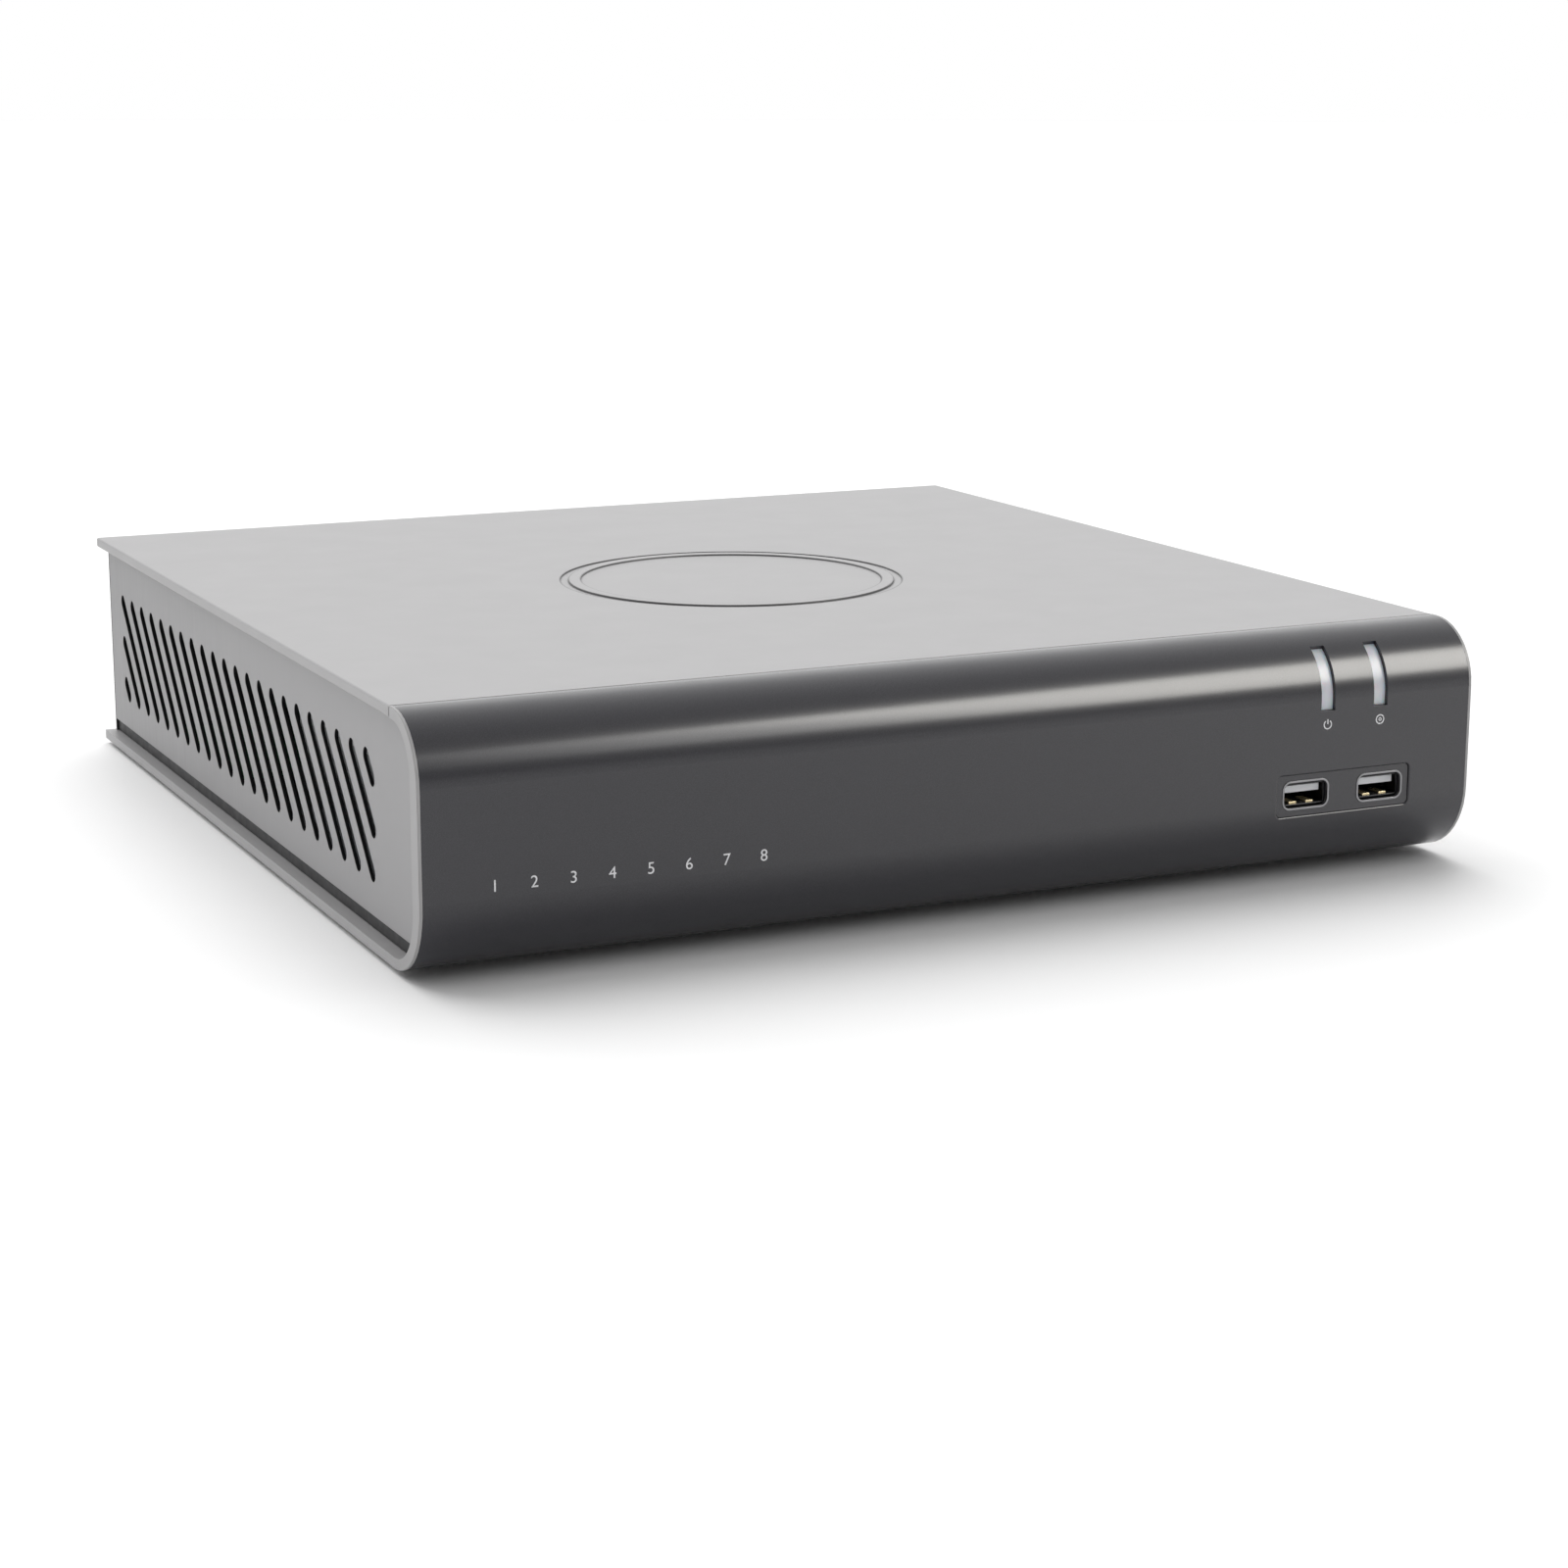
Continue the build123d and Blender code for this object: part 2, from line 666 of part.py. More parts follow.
def make_wrap_frame():
    outer = casing(0, RIGHT, 0)
    inner = rounded_block(
        -RIGHT - OVERCUT, RIGHT + OVERCUT, RIM_FRONT, DEPTH + OVERCUT, BOTTOM_WALL, LIP_UNDER,
        TOP_RADIUS - RIM_FRONT, BOTTOM_RADIUS - RIM_FRONT,
    )
    pocket = rounded_block(
        -RIGHT + RIM_REACH, RIGHT - RIM_REACH, FRONT_WALL, DEPTH + OVERCUT, BOTTOM_WALL, LIP_UNDER,
        TOP_RADIUS - FRONT_WALL, BOTTOM_RADIUS - FRONT_WALL,
    )
    top_opening = block(
        -RIGHT - OVERCUT, RIGHT + OVERCUT, SEAM, DEPTH + OVERCUT, HEIGHT / 2, HEIGHT + OVERCUT)
    frame = outer - inner - pocket - top_opening
    for x, z in boss_places():
        frame += rod("Y", (x, SKIN, z), FRONT_BOARD_Y - SKIN, BOSS_RADIUS) & casing(ROOT, RIGHT, 0)
    frame -= front_skin_zone()
    for x, z in boss_places():
        frame -= hole("Y", (x, FRONT_BOARD_Y - BOSS_HOLE, z), BOSS_HOLE)
    for cut in window_cuts():
        frame -= cut
    frame -= bezel_cut()
    for x, y in foot_places():
        frame -= hole("Z", (x, y, -OVERCUT), BOTTOM_WALL + 2 * OVERCUT, FIT)
    return frame


def make_front_fascia():
    """The dark skin; the edge round the sockets' bezel is softened."""
    cutter = bezel_cut()
    skin = front_skin_zone() - cutter
    around = skin.edges().filter_by(is_bezel_edge)
    skin = fillet(around, min(BEZEL_EDGE_ROUND, SKIN / 2))
    for cut in window_cuts():
        skin -= cut
    return skin


def is_bezel_edge(edge):
    """True for the outer edges of the opening for the bezel."""
    middle = edge.position_at(0.5)
    near_x = abs(middle.X - BEZEL_X) <= BEZEL_WIDTH / 2 + FIT
    near_z = abs(middle.Z - SOCKET_Z) <= BEZEL_HEIGHT / 2 + FIT
    return near_x and near_z and middle.Y < SKIN / 2


def make_ring(cover):
    """Presses the ring into the cover: a trench outside, a low bead and a dish inside."""
    y = DEPTH / 2
    root = HEIGHT - RING_TRENCH - FIT
    top = HEIGHT + RING_HEIGHT
    cover -= rod("Z", (0, y, HEIGHT - RING_TRENCH), RING_TRENCH + OVERCUT, RING_OUTER)
    bead = rod("Z", (0, y, root), top - root, RING_MIDDLE)
    bead -= rod("Z", (0, y, HEIGHT - RING_DISH), RING_DISH + OVERCUT, RING_INNER)
    rims = bead.edges().filter_by(GeomType.CIRCLE).group_by(Axis.Z)[-1]
    return cover + fillet(rims, RING_ROUND)


def make_top_cover():
    y0 = SEAM + SEAM_GAP
    cover = block(-RIGHT, RIGHT, y0, DEPTH, COVER_UNDER, HEIGHT)
    for side in (-1, 1):
        inner, outer = sorted((side * (PANEL_IN - SHEET), side * RIGHT))
        cover += block(inner, outer, y0, DEPTH, LIP_UNDER, COVER_UNDER)
    cover -= block(-SIDE_X - FIT, SIDE_X + FIT, REAR_IN, DEPTH + OVERCUT, 0, COVER_UNDER)
    long_edges = cover.edges().filter_by(Axis.Y).group_by(Axis.X)
    cover = fillet(list(long_edges[0]) + list(long_edges[-1]), EDGE_ROUND)
    cover = make_ring(cover)
    # front tongue below the frame's top return
    half = RIGHT - TONGUE_INSET
    tongue_low = LIP_UNDER - TONGUE_GAP - TONGUE_SHEET
    cover += block(-half, half, y0, y0 + TONGUE_BACK, tongue_low, COVER_UNDER)
    cover += block(-half, half, SEAM - TONGUE_REACH, y0 + TONGUE_BACK, tongue_low, LIP_UNDER - TONGUE_GAP)
    # rear flange for the cover's screws
    half = PANEL_IN - COVER_FLANGE_INSET
    cover += block(-half, half, REAR_IN - SHEET, REAR_IN, COVER_UNDER - COVER_FLANGE, COVER_UNDER)
    for x in cover_screw_x():
        start = (x, REAR_IN - SHEET - OVERCUT, COVER_UNDER - COVER_SCREW_DROP)
        cover -= hole("Y", start, SHEET + 2 * OVERCUT)
    return cover


def vent_slots():
    """Slanted slots clipped to the vent window, each the (y0, z0, y1, z1) of its end centres."""
    half = VENT_WIDTH / 2
    front, rear = VENT_FRONT + half, DEPTH - VENT_REAR_MARGIN - half
    low, high = VENT_LOW + half, VENT_HIGH - half
    slots = []
    top_y = VENT_FIRST
    while True:
        y1, z1 = top_y, high
        if y1 > rear:
            z1 = high - (top_y - rear) / VENT_LEAN
            y1 = rear
        y0, z0 = top_y - (high - low) * VENT_LEAN, low
        if y0 < front:
            z0 = high - (top_y - front) / VENT_LEAN
            y0 = front
        if z1 - z0 < VENT_SHORTEST:
            return slots
        slots.append((y0, z0, y1, z1))
        top_y += VENT_PITCH


def side_outline(x0, x1):
    """The opening between the rims, less a small gap all round, as a plate along x."""
    return rounded_block(
        x0, x1, RIM_FRONT + FIT, REAR_IN, BOTTOM_WALL + FIT, LIP_UNDER - FIT,
        TOP_RADIUS - RIM_FRONT - FIT, BOTTOM_RADIUS - RIM_FRONT - FIT,
    )


def make_side_panel():
    """The right-hand panel; the left one is its mirror image."""
    panel = side_outline(PANEL_IN, SIDE_X) - block(0, RIGHT, 0, DEPTH, 0, GROOVE_TOP)
    for y0, z0, y1, z1 in vent_slots():
        length = math.hypot(y1 - y0, z1 - z0)
        angle = math.degrees(math.atan2(z1 - z0, y1 - y0))
        slot = Plane.YZ * (Rot(0, 0, angle) * SlotCenterToCenter(length, VENT_WIDTH))
        cutter = extrude(slot, SHEET + 2 * OVERCUT)
        panel -= Pos(PANEL_IN - OVERCUT, (y0 + y1) / 2, (z0 + z1) / 2) * cutter
    y0, y1 = BOTTOM_RADIUS + LEG_FRONT_GAP, REAR_IN - OVERCUT
    panel += block(PANEL_IN - SHEET, PANEL_IN, y0, y1, TRAY_TOP, GROOVE_TOP + LEG_RISE)
    panel += block(PANEL_IN - FLANGE, PANEL_IN, y0, y1 - FLANGE_REAR_GAP, TRAY_TOP, TRAY_TOP + SHEET)
    for x, y in side_screw_places(1):
        panel -= hole("Z", (x, y, TRAY_TOP - OVERCUT), SHEET + 2 * OVERCUT)
    return panel


def make_groove_strip():
    """The dark strip at the foot of the right-hand panel."""
    strip = side_outline(PANEL_IN, SIDE_X - GROOVE_DEPTH)
    return strip & block(0, RIGHT, 0, DEPTH, 0, GROOVE_TOP)


def make_base_tray():
    front = BOTTOM_RADIUS + TRAY_FRONT_GAP
    tray = block(-PANEL_IN, PANEL_IN, front, REAR_IN, BOTTOM_WALL, TRAY_TOP)
    for x, y in foot_places():
        tray += rod("Z", (x, y, TRAY_TOP - ROOT), COLLAR_HEIGHT + ROOT, COLLAR_RADIUS)
    for x, y in foot_places() + chassis_screw_places():
        tray -= hole("Z", (x, y, 0), TRAY_TOP + COLLAR_HEIGHT + OVERCUT)
    return tray


def make_feet():
    recess = SCREW_HEAD + ROOT
    return [tube("Z", (x, y, -FOOT_HEIGHT), FOOT_HEIGHT, FOOT_RADIUS, recess) for x, y in foot_places()]


def make_foot_screws():
    shank = TRAY_TOP + COLLAR_HEIGHT - FIT
    return [screw("Z", (x, y, 0), shank, -1, FOOT_SCREW_HEAD) for x, y in foot_places()]


def make_chassis_screws():
    low, length = BOTTOM_WALL + FIT, TRAY_SHEET + SHEET - FIT
    return [screw("Z", (x, y, low), length, 1) for x, y in chassis_screw_places()]


def make_cover_screws():
    y, z = REAR_OUT - COVER_SCREW_LENGTH, COVER_UNDER - COVER_SCREW_DROP
    return [screw("Y", (x, y, z), COVER_SCREW_LENGTH, 1) for x in cover_screw_x()]


# ---- rear panel ----
def rear_vent_places():
    last = FAN_X - FAN_SIZE / 2 - REAR_VENT_FAN_GAP
    count = int((last - BNC_OUT_X) / REAR_VENT_PITCH) + 1
    return [BNC_OUT_X + i * REAR_VENT_PITCH for i in range(count)]


def grille_cut(y0, thick):
    """The fan's air openings: a disc less two rings and two crossed bars."""
    cutter = rod("Y", (0, y0, 0), thick, FAN_BORE - GRILLE_INSET)
    for outer, inner in GRILLE_RINGS:
        ring = rod("Y", (0, y0, 0), thick, outer)
        if inner > 0:
            ring -= rod("Y", (0, y0, 0), thick, inner)
        cutter -= ring
    for turn in (45, 135):
        cutter -= Rot(0, turn, 0) * bar(0, 2 * FAN_BORE, y0, y0 + thick, -GRILLE_BAR / 2, GRILLE_BAR / 2)
    return Pos(FAN_X, 0, FAN_Z) * cutter


def make_rear_panel():
    panel = block(-SIDE_X, SIDE_X, REAR_IN, REAR_OUT, BOTTOM_WALL, COVER_UNDER)
    half = PANEL_IN - REAR_FLANGE_INSET
    panel += block(-half, half, REAR_IN - FLANGE, REAR_IN + SHEET / 2, TRAY_TOP, TRAY_TOP + SHEET)
    y0, y1 = REAR_IN - OVERCUT, REAR_OUT + OVERCUT
    thick = y1 - y0
    for x, z in bnc_places():
        panel -= rod("Y", (x, y0, z), thick, BNC_ROOT + ROOM)
    for x, z in rca_places():
        panel -= rod("Y", (x, y0, z), thick, RCA_ROOT + ROOM)
    vga_z = BOARD_TOP + VGA_BLOCK[1] / 2
    width, height = VGA_SIZE[0] + 2 * ROOM, VGA_SIZE[1] + 2 * ROOM
    panel -= soft_plate(VGA_X, vga_z, width, height, y0, y1, VGA_ROUND + ROOM)
    for side in (-1, 1):
        panel -= hole("Y", (VGA_X + side * VGA_NUT_X, y0, vga_z), thick, FIT)
    for x, size in ((HDMI_X, HDMI_SHELL), (REAR_USB_X, USB_SHELL), (LAN_X, LAN_SHELL)):
        z = BOARD_TOP + size[1] / 2
        panel -= soft_plate(x, z, size[0] + 2 * ROOM, size[1] + 2 * ROOM, y0, y1, USB_SHELL_ROUND)
    low = BOARD_TOP - ROOM
    width = TERMINAL_WAYS * TERMINAL_PITCH + 2 * ROOM
    panel -= bar(TERMINAL_X, width, y0, y1, low, BOARD_TOP + TERMINAL_HEIGHT + ROOM)
    panel -= bar(POWER_X, POWER_JACK[0] + 2 * ROOM, y0, y1, low, BOARD_TOP + POWER_JACK[1] + ROOM)
    half = ROCKER_FRAME[1] / 2 + FIT
    panel -= bar(ROCKER_X, ROCKER_FRAME[0] + 2 * FIT, y0, y1, ROCKER_Z - half, ROCKER_Z + half)
    for x, z in fan_hole_places():
        panel -= hole("Y", (x, y0, z), thick)
    panel -= grille_cut(y0, thick)
    for x in cover_screw_x():
        panel -= hole("Y", (x, y0, COVER_UNDER - COVER_SCREW_DROP), thick, FIT)
    for x, y in rear_screw_places():
        panel -= hole("Z", (x, y, 0), TRAY_TOP + SHEET + OVERCUT)
    for x in rear_vent_places():
        panel -= soft_plate(x, REAR_VENT_Z, REAR_VENT[0], REAR_VENT[1], y0, y1, REAR_VENT_ROUND)
    return panel


def make_bnc():
    """Saves the coaxial jacks' shells and insulators; returns their blocks and contacts."""
    y0 = REAR_IN - BNC_BLOCK_DEPTH
    top = BOARD_TOP + BNC_ROW_LOW + BNC_HALF
    width = (BNC_COLUMNS - 1) * BNC_PITCH + 2 * BNC_HALF
    housings = [
        bar(BNC_MIDDLE, width, y0, REAR_IN, BOARD_TOP, top + BNC_PITCH),
        bar(BNC_OUT_X, 2 * BNC_HALF, y0, REAR_IN, BOARD_TOP, top),
    ]
    shells, insulators, contacts = [], [], []
    floor = REAR_OUT + JACK_FLOOR
    for x, z in bnc_places():
        shell = rod("Y", (x, REAR_IN, z), SHEET + BNC_ROOT_PROUD, BNC_ROOT)
        shell += rod("Y", (x, REAR_OUT, z), BNC_REACH, BNC_OUTER)
        shell += rod("X", (x - BNC_LUG_TIP, BNC_END - BNC_LUG_BACK, z), 2 * BNC_LUG_TIP, BNC_LUG)
        shell -= rod("Y", (x, floor, z), BNC_REACH, BNC_BORE)
        shells.append(shell)
        outer, inner, sunk = BNC_INSULATOR
        insulators.append(tube("Y", (x, floor, z), BNC_REACH - sunk, outer, inner))
        outer, inner, sunk = BNC_CONTACT
        contacts.append(tube("Y", (x, floor, z), BNC_REACH - sunk, outer, inner))
    save("bnc_shells", *shells)
    save("bnc_insulators", *insulators)
    return housings, contacts


def make_rca():
    """Saves the audio jacks' shells and insulators; returns their block."""
    top = BOARD_TOP + RCA_ROW_LOW + RCA_PITCH + RCA_HALF
    housing = bar(RCA_MIDDLE, RCA_PITCH + 2 * RCA_HALF, REAR_IN - RCA_BLOCK_DEPTH, REAR_IN, BOARD_TOP, top)
    shells, insulators = [], []
    floor = REAR_OUT + JACK_FLOOR
    for x, z in rca_places():
        shell = rod("Y", (x, REAR_IN, z), SHEET + RCA_ROOT_PROUD, RCA_ROOT)
        shell += rod("Y", (x, REAR_OUT, z), RCA_REACH, RCA_OUTER)
        shell -= rod("Y", (x, floor, z), RCA_REACH, RCA_BORE)
        shells.append(shell)
        insulators.append(tube("Y", (x, floor, z), RCA_REACH - RCA_MOUTH, RCA_BORE - RUN, RCA_PIN_HOLE))
    save("audio_shells", *shells)
    save("audio_insulators", *insulators)
    return housing


def make_vga():
    """Saves the display socket's insert and nuts; returns its block and shell."""
    width, height, length = VGA_BLOCK
    z = BOARD_TOP + height / 2
    housing = bar(VGA_X, width, REAR_IN - length, REAR_IN, BOARD_TOP, BOARD_TOP + height)
    nuts = []
    for side in (-1, 1):
        x = VGA_X + side * VGA_NUT_X
        housing -= hole("Y", (x, REAR_IN - VGA_NUT_STUD - OVERCUT, z), VGA_NUT_STUD + 2 * OVERCUT)
        nut = Pos(x, REAR_OUT, z) * extrude(Plane.XZ * RegularPolygon(VGA_NUT_RADIUS, 6), -VGA_NUT_LENGTH)
        nut += rod("Y", (x, REAR_IN - VGA_NUT_STUD, z), VGA_NUT_STUD + SHEET + ROOT, SCREW)
        nut -= rod("Y", (x, REAR_OUT + OVERCUT, z), VGA_NUT_LENGTH, VGA_NUT_BORE)
        nuts.append(nut)
    end = REAR_OUT + VGA_REACH
    wide, high = VGA_SIZE
    shell = soft_plate(VGA_X, z, wide, high, REAR_IN, end, VGA_ROUND)
    inside = (wide - 2 * VGA_WALL, high - 2 * VGA_WALL)
    shell -= soft_plate(VGA_X, z, *inside, REAR_IN - OVERCUT, end + OVERCUT, VGA_ROUND - VGA_WALL)
    plug = [size - 2 * VGA_INSERT_GAP for size in inside]
    insert = soft_plate(VGA_X, z, *plug, REAR_IN, end - VGA_INSERT_SUNK, VGA_ROUND - VGA_WALL)
    for row in (-1, 0, 1):
        for k in range(VGA_PINS):
            x = VGA_X + (k - (VGA_PINS - 1) / 2) * VGA_PIN_PITCH + row * VGA_PIN_SHIFT
            start = (x, end - VGA_PIN_DEPTH, z + row * VGA_PIN_ROW)
            insert -= rod("Y", start, VGA_PIN_DEPTH + OVERCUT, VGA_PIN_HOLE)
    save("display_insert", insert)
    save("display_hex_nuts", *nuts)
    return housing, shell


def socket_shell(x, low, size, length, mouth, facing):
    """A sheet-metal socket shell whose mouth faces along y (1) or against it (-1)."""
    z = low + size[1] / 2
    back = mouth - facing * length
    shell = soft_plate(x, z, *size, min(back, mouth), max(back, mouth), USB_SHELL_ROUND)
    ends = sorted((back + facing * SHELL_BACK, mouth + facing * OVERCUT))
    inside = [side - 2 * USB_WALL for side in size]
    return shell - soft_plate(x, z, *inside, *ends, USB_SHELL_ROUND - FIT)


def make_network_jack():
    """Saves the network jack; returns its contact springs."""
    jack = bar(LAN_X, LAN_SHELL[0], SOCKET_END - LAN_LENGTH, SOCKET_END, BOARD_TOP, BOARD_TOP + LAN_SHELL[1])
    low = BOARD_TOP + LAN_OPEN_LOW
    back, front = SOCKET_END - LAN_OPEN_DEPTH, SOCKET_END + OVERCUT
    jack -= bar(LAN_X, LAN_OPEN[0], back, front, low, low + LAN_OPEN[1])
    latch_width, latch_depth, latch_roof = LAN_LATCH
    roof = BOARD_TOP + LAN_SHELL[1] - latch_roof
    jack -= bar(LAN_X, latch_width, SOCKET_END - latch_depth, front, low + LAN_OPEN[1] - FIT, roof)
    save("network_jack", jack)
    springs = []
    for k in range(LAN_PINS):
        x = LAN_X + (k - (LAN_PINS - 1) / 2) * LAN_PIN_PITCH
        springs.append(bar(x, LAN_PIN[0], back, SOCKET_END - LAN_PIN_BACK, low, low + LAN_PIN[1]))
    return springs


def make_terminals():
    """Saves the alarm terminals: a block with a wire mouth and a clamp screw for each way."""
    end = REAR_OUT + TERMINAL_PROUD
    width = TERMINAL_WAYS * TERMINAL_PITCH
    terminal = bar(TERMINAL_X, width, end - TERMINAL_LENGTH, end, BOARD_TOP, BOARD_TOP + TERMINAL_HEIGHT)
    mouth_low = BOARD_TOP + TERMINAL_HOLE_LOW
    radius, height = TERMINAL_SCREW
    slot_width, slot_depth = TERMINAL_SLOT
    y, low = end - TERMINAL_SCREW_BACK, BOARD_TOP + TERMINAL_SCREW_LOW
    screws = []
    for k in range(TERMINAL_WAYS):
        x = TERMINAL_X - width / 2 + (k + 0.5) * TERMINAL_PITCH
        back, front = end - TERMINAL_HOLE_DEPTH, end + OVERCUT
        terminal -= bar(x, TERMINAL_HOLE, back, front, mouth_low, mouth_low + TERMINAL_HOLE)
        terminal -= rod("Z", (x, y, low), TERMINAL_HEIGHT, radius + RUN)
        head = rod("Z", (x, y, low), height, radius)
        top = low + height
        half = slot_width / 2
        screws.append(head - bar(x, 2 * radius + FIT, y - half, y + half, top - slot_depth, top + FIT))
    save("terminal_block", terminal)
    save("terminal_screws", *screws)


def make_power_jack():
    """Saves the low-voltage power jack; returns its centre pin."""
    width, height, length = POWER_JACK
    z = BOARD_TOP + height / 2
    body = bar(POWER_X, width, SOCKET_END - length, SOCKET_END, BOARD_TOP, BOARD_TOP + height)
    start = (POWER_X, SOCKET_END - POWER_DEPTH, z)
    save("power_jack", body - rod("Y", start, POWER_DEPTH + OVERCUT, POWER_BORE))
    return rod("Y", start, POWER_DEPTH - POWER_PIN_BACK, POWER_PIN)


def make_flat_sockets():
    """The shells and tongues of the flat display socket and the rear bus socket."""
    shells, tongues = [], []
    rows = (
        (HDMI_X, HDMI_SHELL, HDMI_LENGTH, HDMI_TONGUE, HDMI_TONGUE_RISE, SHELL_BACK),
        (REAR_USB_X, USB_SHELL, USB_LENGTH, USB_TONGUE, USB_TONGUE_RISE, USB_TONGUE_BACK),
    )
    for x, size, length, tongue, rise, sunk in rows:
        shells.append(socket_shell(x, BOARD_TOP, size, length, SOCKET_END, 1))
        low = BOARD_TOP + size[1] / 2 + rise - tongue[1] / 2
        back = SOCKET_END - length + SHELL_BACK
        tongues.append(bar(x, tongue[0], back, SOCKET_END - sunk, low, low + tongue[1]))
    return shells, tongues


def make_rocker_switch():
    """Saves the power switch; returns its rear tabs."""
    half = ROCKER_FRAME[1] / 2
    front = REAR_OUT - ROCKER_DEEP
    frame = bar(ROCKER_X, ROCKER_FRAME[0], front, REAR_OUT, ROCKER_Z - half, ROCKER_Z + half)
    wide, high, thick = ROCKER_FLANGE
    frame += soft_plate(ROCKER_X, ROCKER_Z, wide, high, REAR_OUT, REAR_OUT + thick, ROCKER_FLANGE_ROUND)
    half = ROCKER_OPEN[1] / 2
    back = REAR_OUT + thick + OVERCUT
    frame -= bar(ROCKER_X, ROCKER_OPEN[0], front + ROCKER_FLOOR, back, ROCKER_Z - half, ROCKER_Z + half)
    pin_half = ROCKER_FRAME[0] / 2 - ROCKER_GAP
    start = (ROCKER_X - pin_half, ROCKER_PIVOT_Y, ROCKER_Z)
    frame -= rod("X", start, 2 * pin_half, ROCKER_PIN + RUN)
    save("power_switch_frame", frame)
    body_half = ROCKER_OPEN[0] / 2 - ROCKER_GAP
    rocker = prism(ROCKER_OUTLINE, -body_half, body_half)
    rocker += rod("X", (-pin_half + RUN, 0, 0), 2 * (pin_half - RUN), ROCKER_PIN)
    save("power_rocker", Pos(ROCKER_X, ROCKER_PIVOT_Y, ROCKER_Z) * (Rot(-ROCKER_TILT, 0, 0) * rocker))
    width, length, thick = ROCKER_TAB
    tabs = []
    for z in (ROCKER_Z - ROCKER_TAB_Z, ROCKER_Z + ROCKER_TAB_Z):
        tabs.append(bar(ROCKER_X, width, front - length, front, z - thick / 2, z + thick / 2))
    return tabs


def make_fan():
    """Saves the fan's frame and rotor; returns its screws."""
    frame = bar(FAN_X, FAN_SIZE, FAN_FRONT, REAR_IN, FAN_Z - FAN_SIZE / 2, FAN_Z + FAN_SIZE / 2)
    y0, through = FAN_FRONT - OVERCUT, FAN_DEPTH + 2 * OVERCUT
    frame -= rod("Y", (FAN_X, y0, FAN_Z), through, FAN_BORE)
    for x, z in fan_hole_places():
        frame -= hole("Y", (x, y0, z), through)
    frame += rod("Y", (FAN_X, FAN_FRONT, FAN_Z), FAN_MOUNT, FAN_HUB)
    width, thick = FAN_ARM
    arm = block(FAN_HUB - ROOT, FAN_BORE + ROOT, FAN_FRONT, FAN_FRONT + thick, -width / 2, width / 2)
    for turn in FAN_ARM_TURNS:
        frame += Pos(FAN_X, 0, FAN_Z) * (Rot(0, turn, 0) * arm)
    frame -= rod("Y", (FAN_X, y0, FAN_Z), FAN_MOUNT + 2 * OVERCUT, FAN_SHAFT + RUN)
    save("fan_frame", frame)
    # rotor, about the origin, then moved behind the mount
    length = FAN_DEPTH - FAN_MOUNT - FAN_ROTOR_GAP - FAN_ROTOR_REAR_GAP
    rotor = rod("Y", (0, 0, 0), length, FAN_HUB)
    rotor -= rod("Y", (0, -OVERCUT, 0), OVERCUT + FAN_HUB_HOLLOW, FAN_HUB - FAN_HUB_WALL)
    blade_thick, blade_width, pitch = FAN_BLADE
    tip, root = FAN_BORE - FAN_TIP_GAP, FAN_HUB - OVERCUT
    blade = Rot(pitch, 0, 0) * Box(tip - root, blade_thick, blade_width)
    blade = Pos((tip + root) / 2, length / 2, 0) * blade
    for k in range(FAN_BLADES):
        rotor += Rot(0, k * 360 / FAN_BLADES, 0) * blade
    rotor += rod("Y", (0, -FAN_SHAFT_LENGTH, 0), FAN_SHAFT_LENGTH + 2 * FAN_HUB_HOLLOW, FAN_SHAFT)
    save("fan_rotor", Pos(FAN_X, FAN_FRONT + FAN_MOUNT + FAN_ROTOR_GAP, FAN_Z) * rotor)
    return [screw("Y", (x, REAR_OUT - FAN_SCREW, z), FAN_SCREW, 1) for x, z in fan_hole_places()]


# ---- boards and what they carry ----
def make_main_board():
    """Saves the main board and its standoffs; returns their screws."""
    board = block(BOARD_LEFT, BOARD_RIGHT, BOARD_FRONT, BOARD_REAR, BOARD_LOW, BOARD_TOP)
    posts, screws = [], []
    for x, y in standoff_places():
        board -= hole("Z", (x, y, BOARD_LOW - OVERCUT), BOARD + 2 * OVERCUT, FIT)
        post = rod("Z", (x, y, TRAY_TOP), BOARD_LIFT, STANDOFF_RADIUS)
        posts.append(post - hole("Z", (x, y, TRAY_TOP + OVERCUT), BOARD_LIFT))
        screws.append(screw("Z", (x, y, BOARD_TOP - BOARD_SCREW), BOARD_SCREW, 1))
    save("main_board", board)
    save("board_standoffs", *posts)
    return screws


def chip(x, y, size, low=BOARD_TOP):
    """A block of (width, length, height) that stands on the board."""
    width, length, height = size
    return bar(x, width, y - length / 2, y + length / 2, low, low + height)


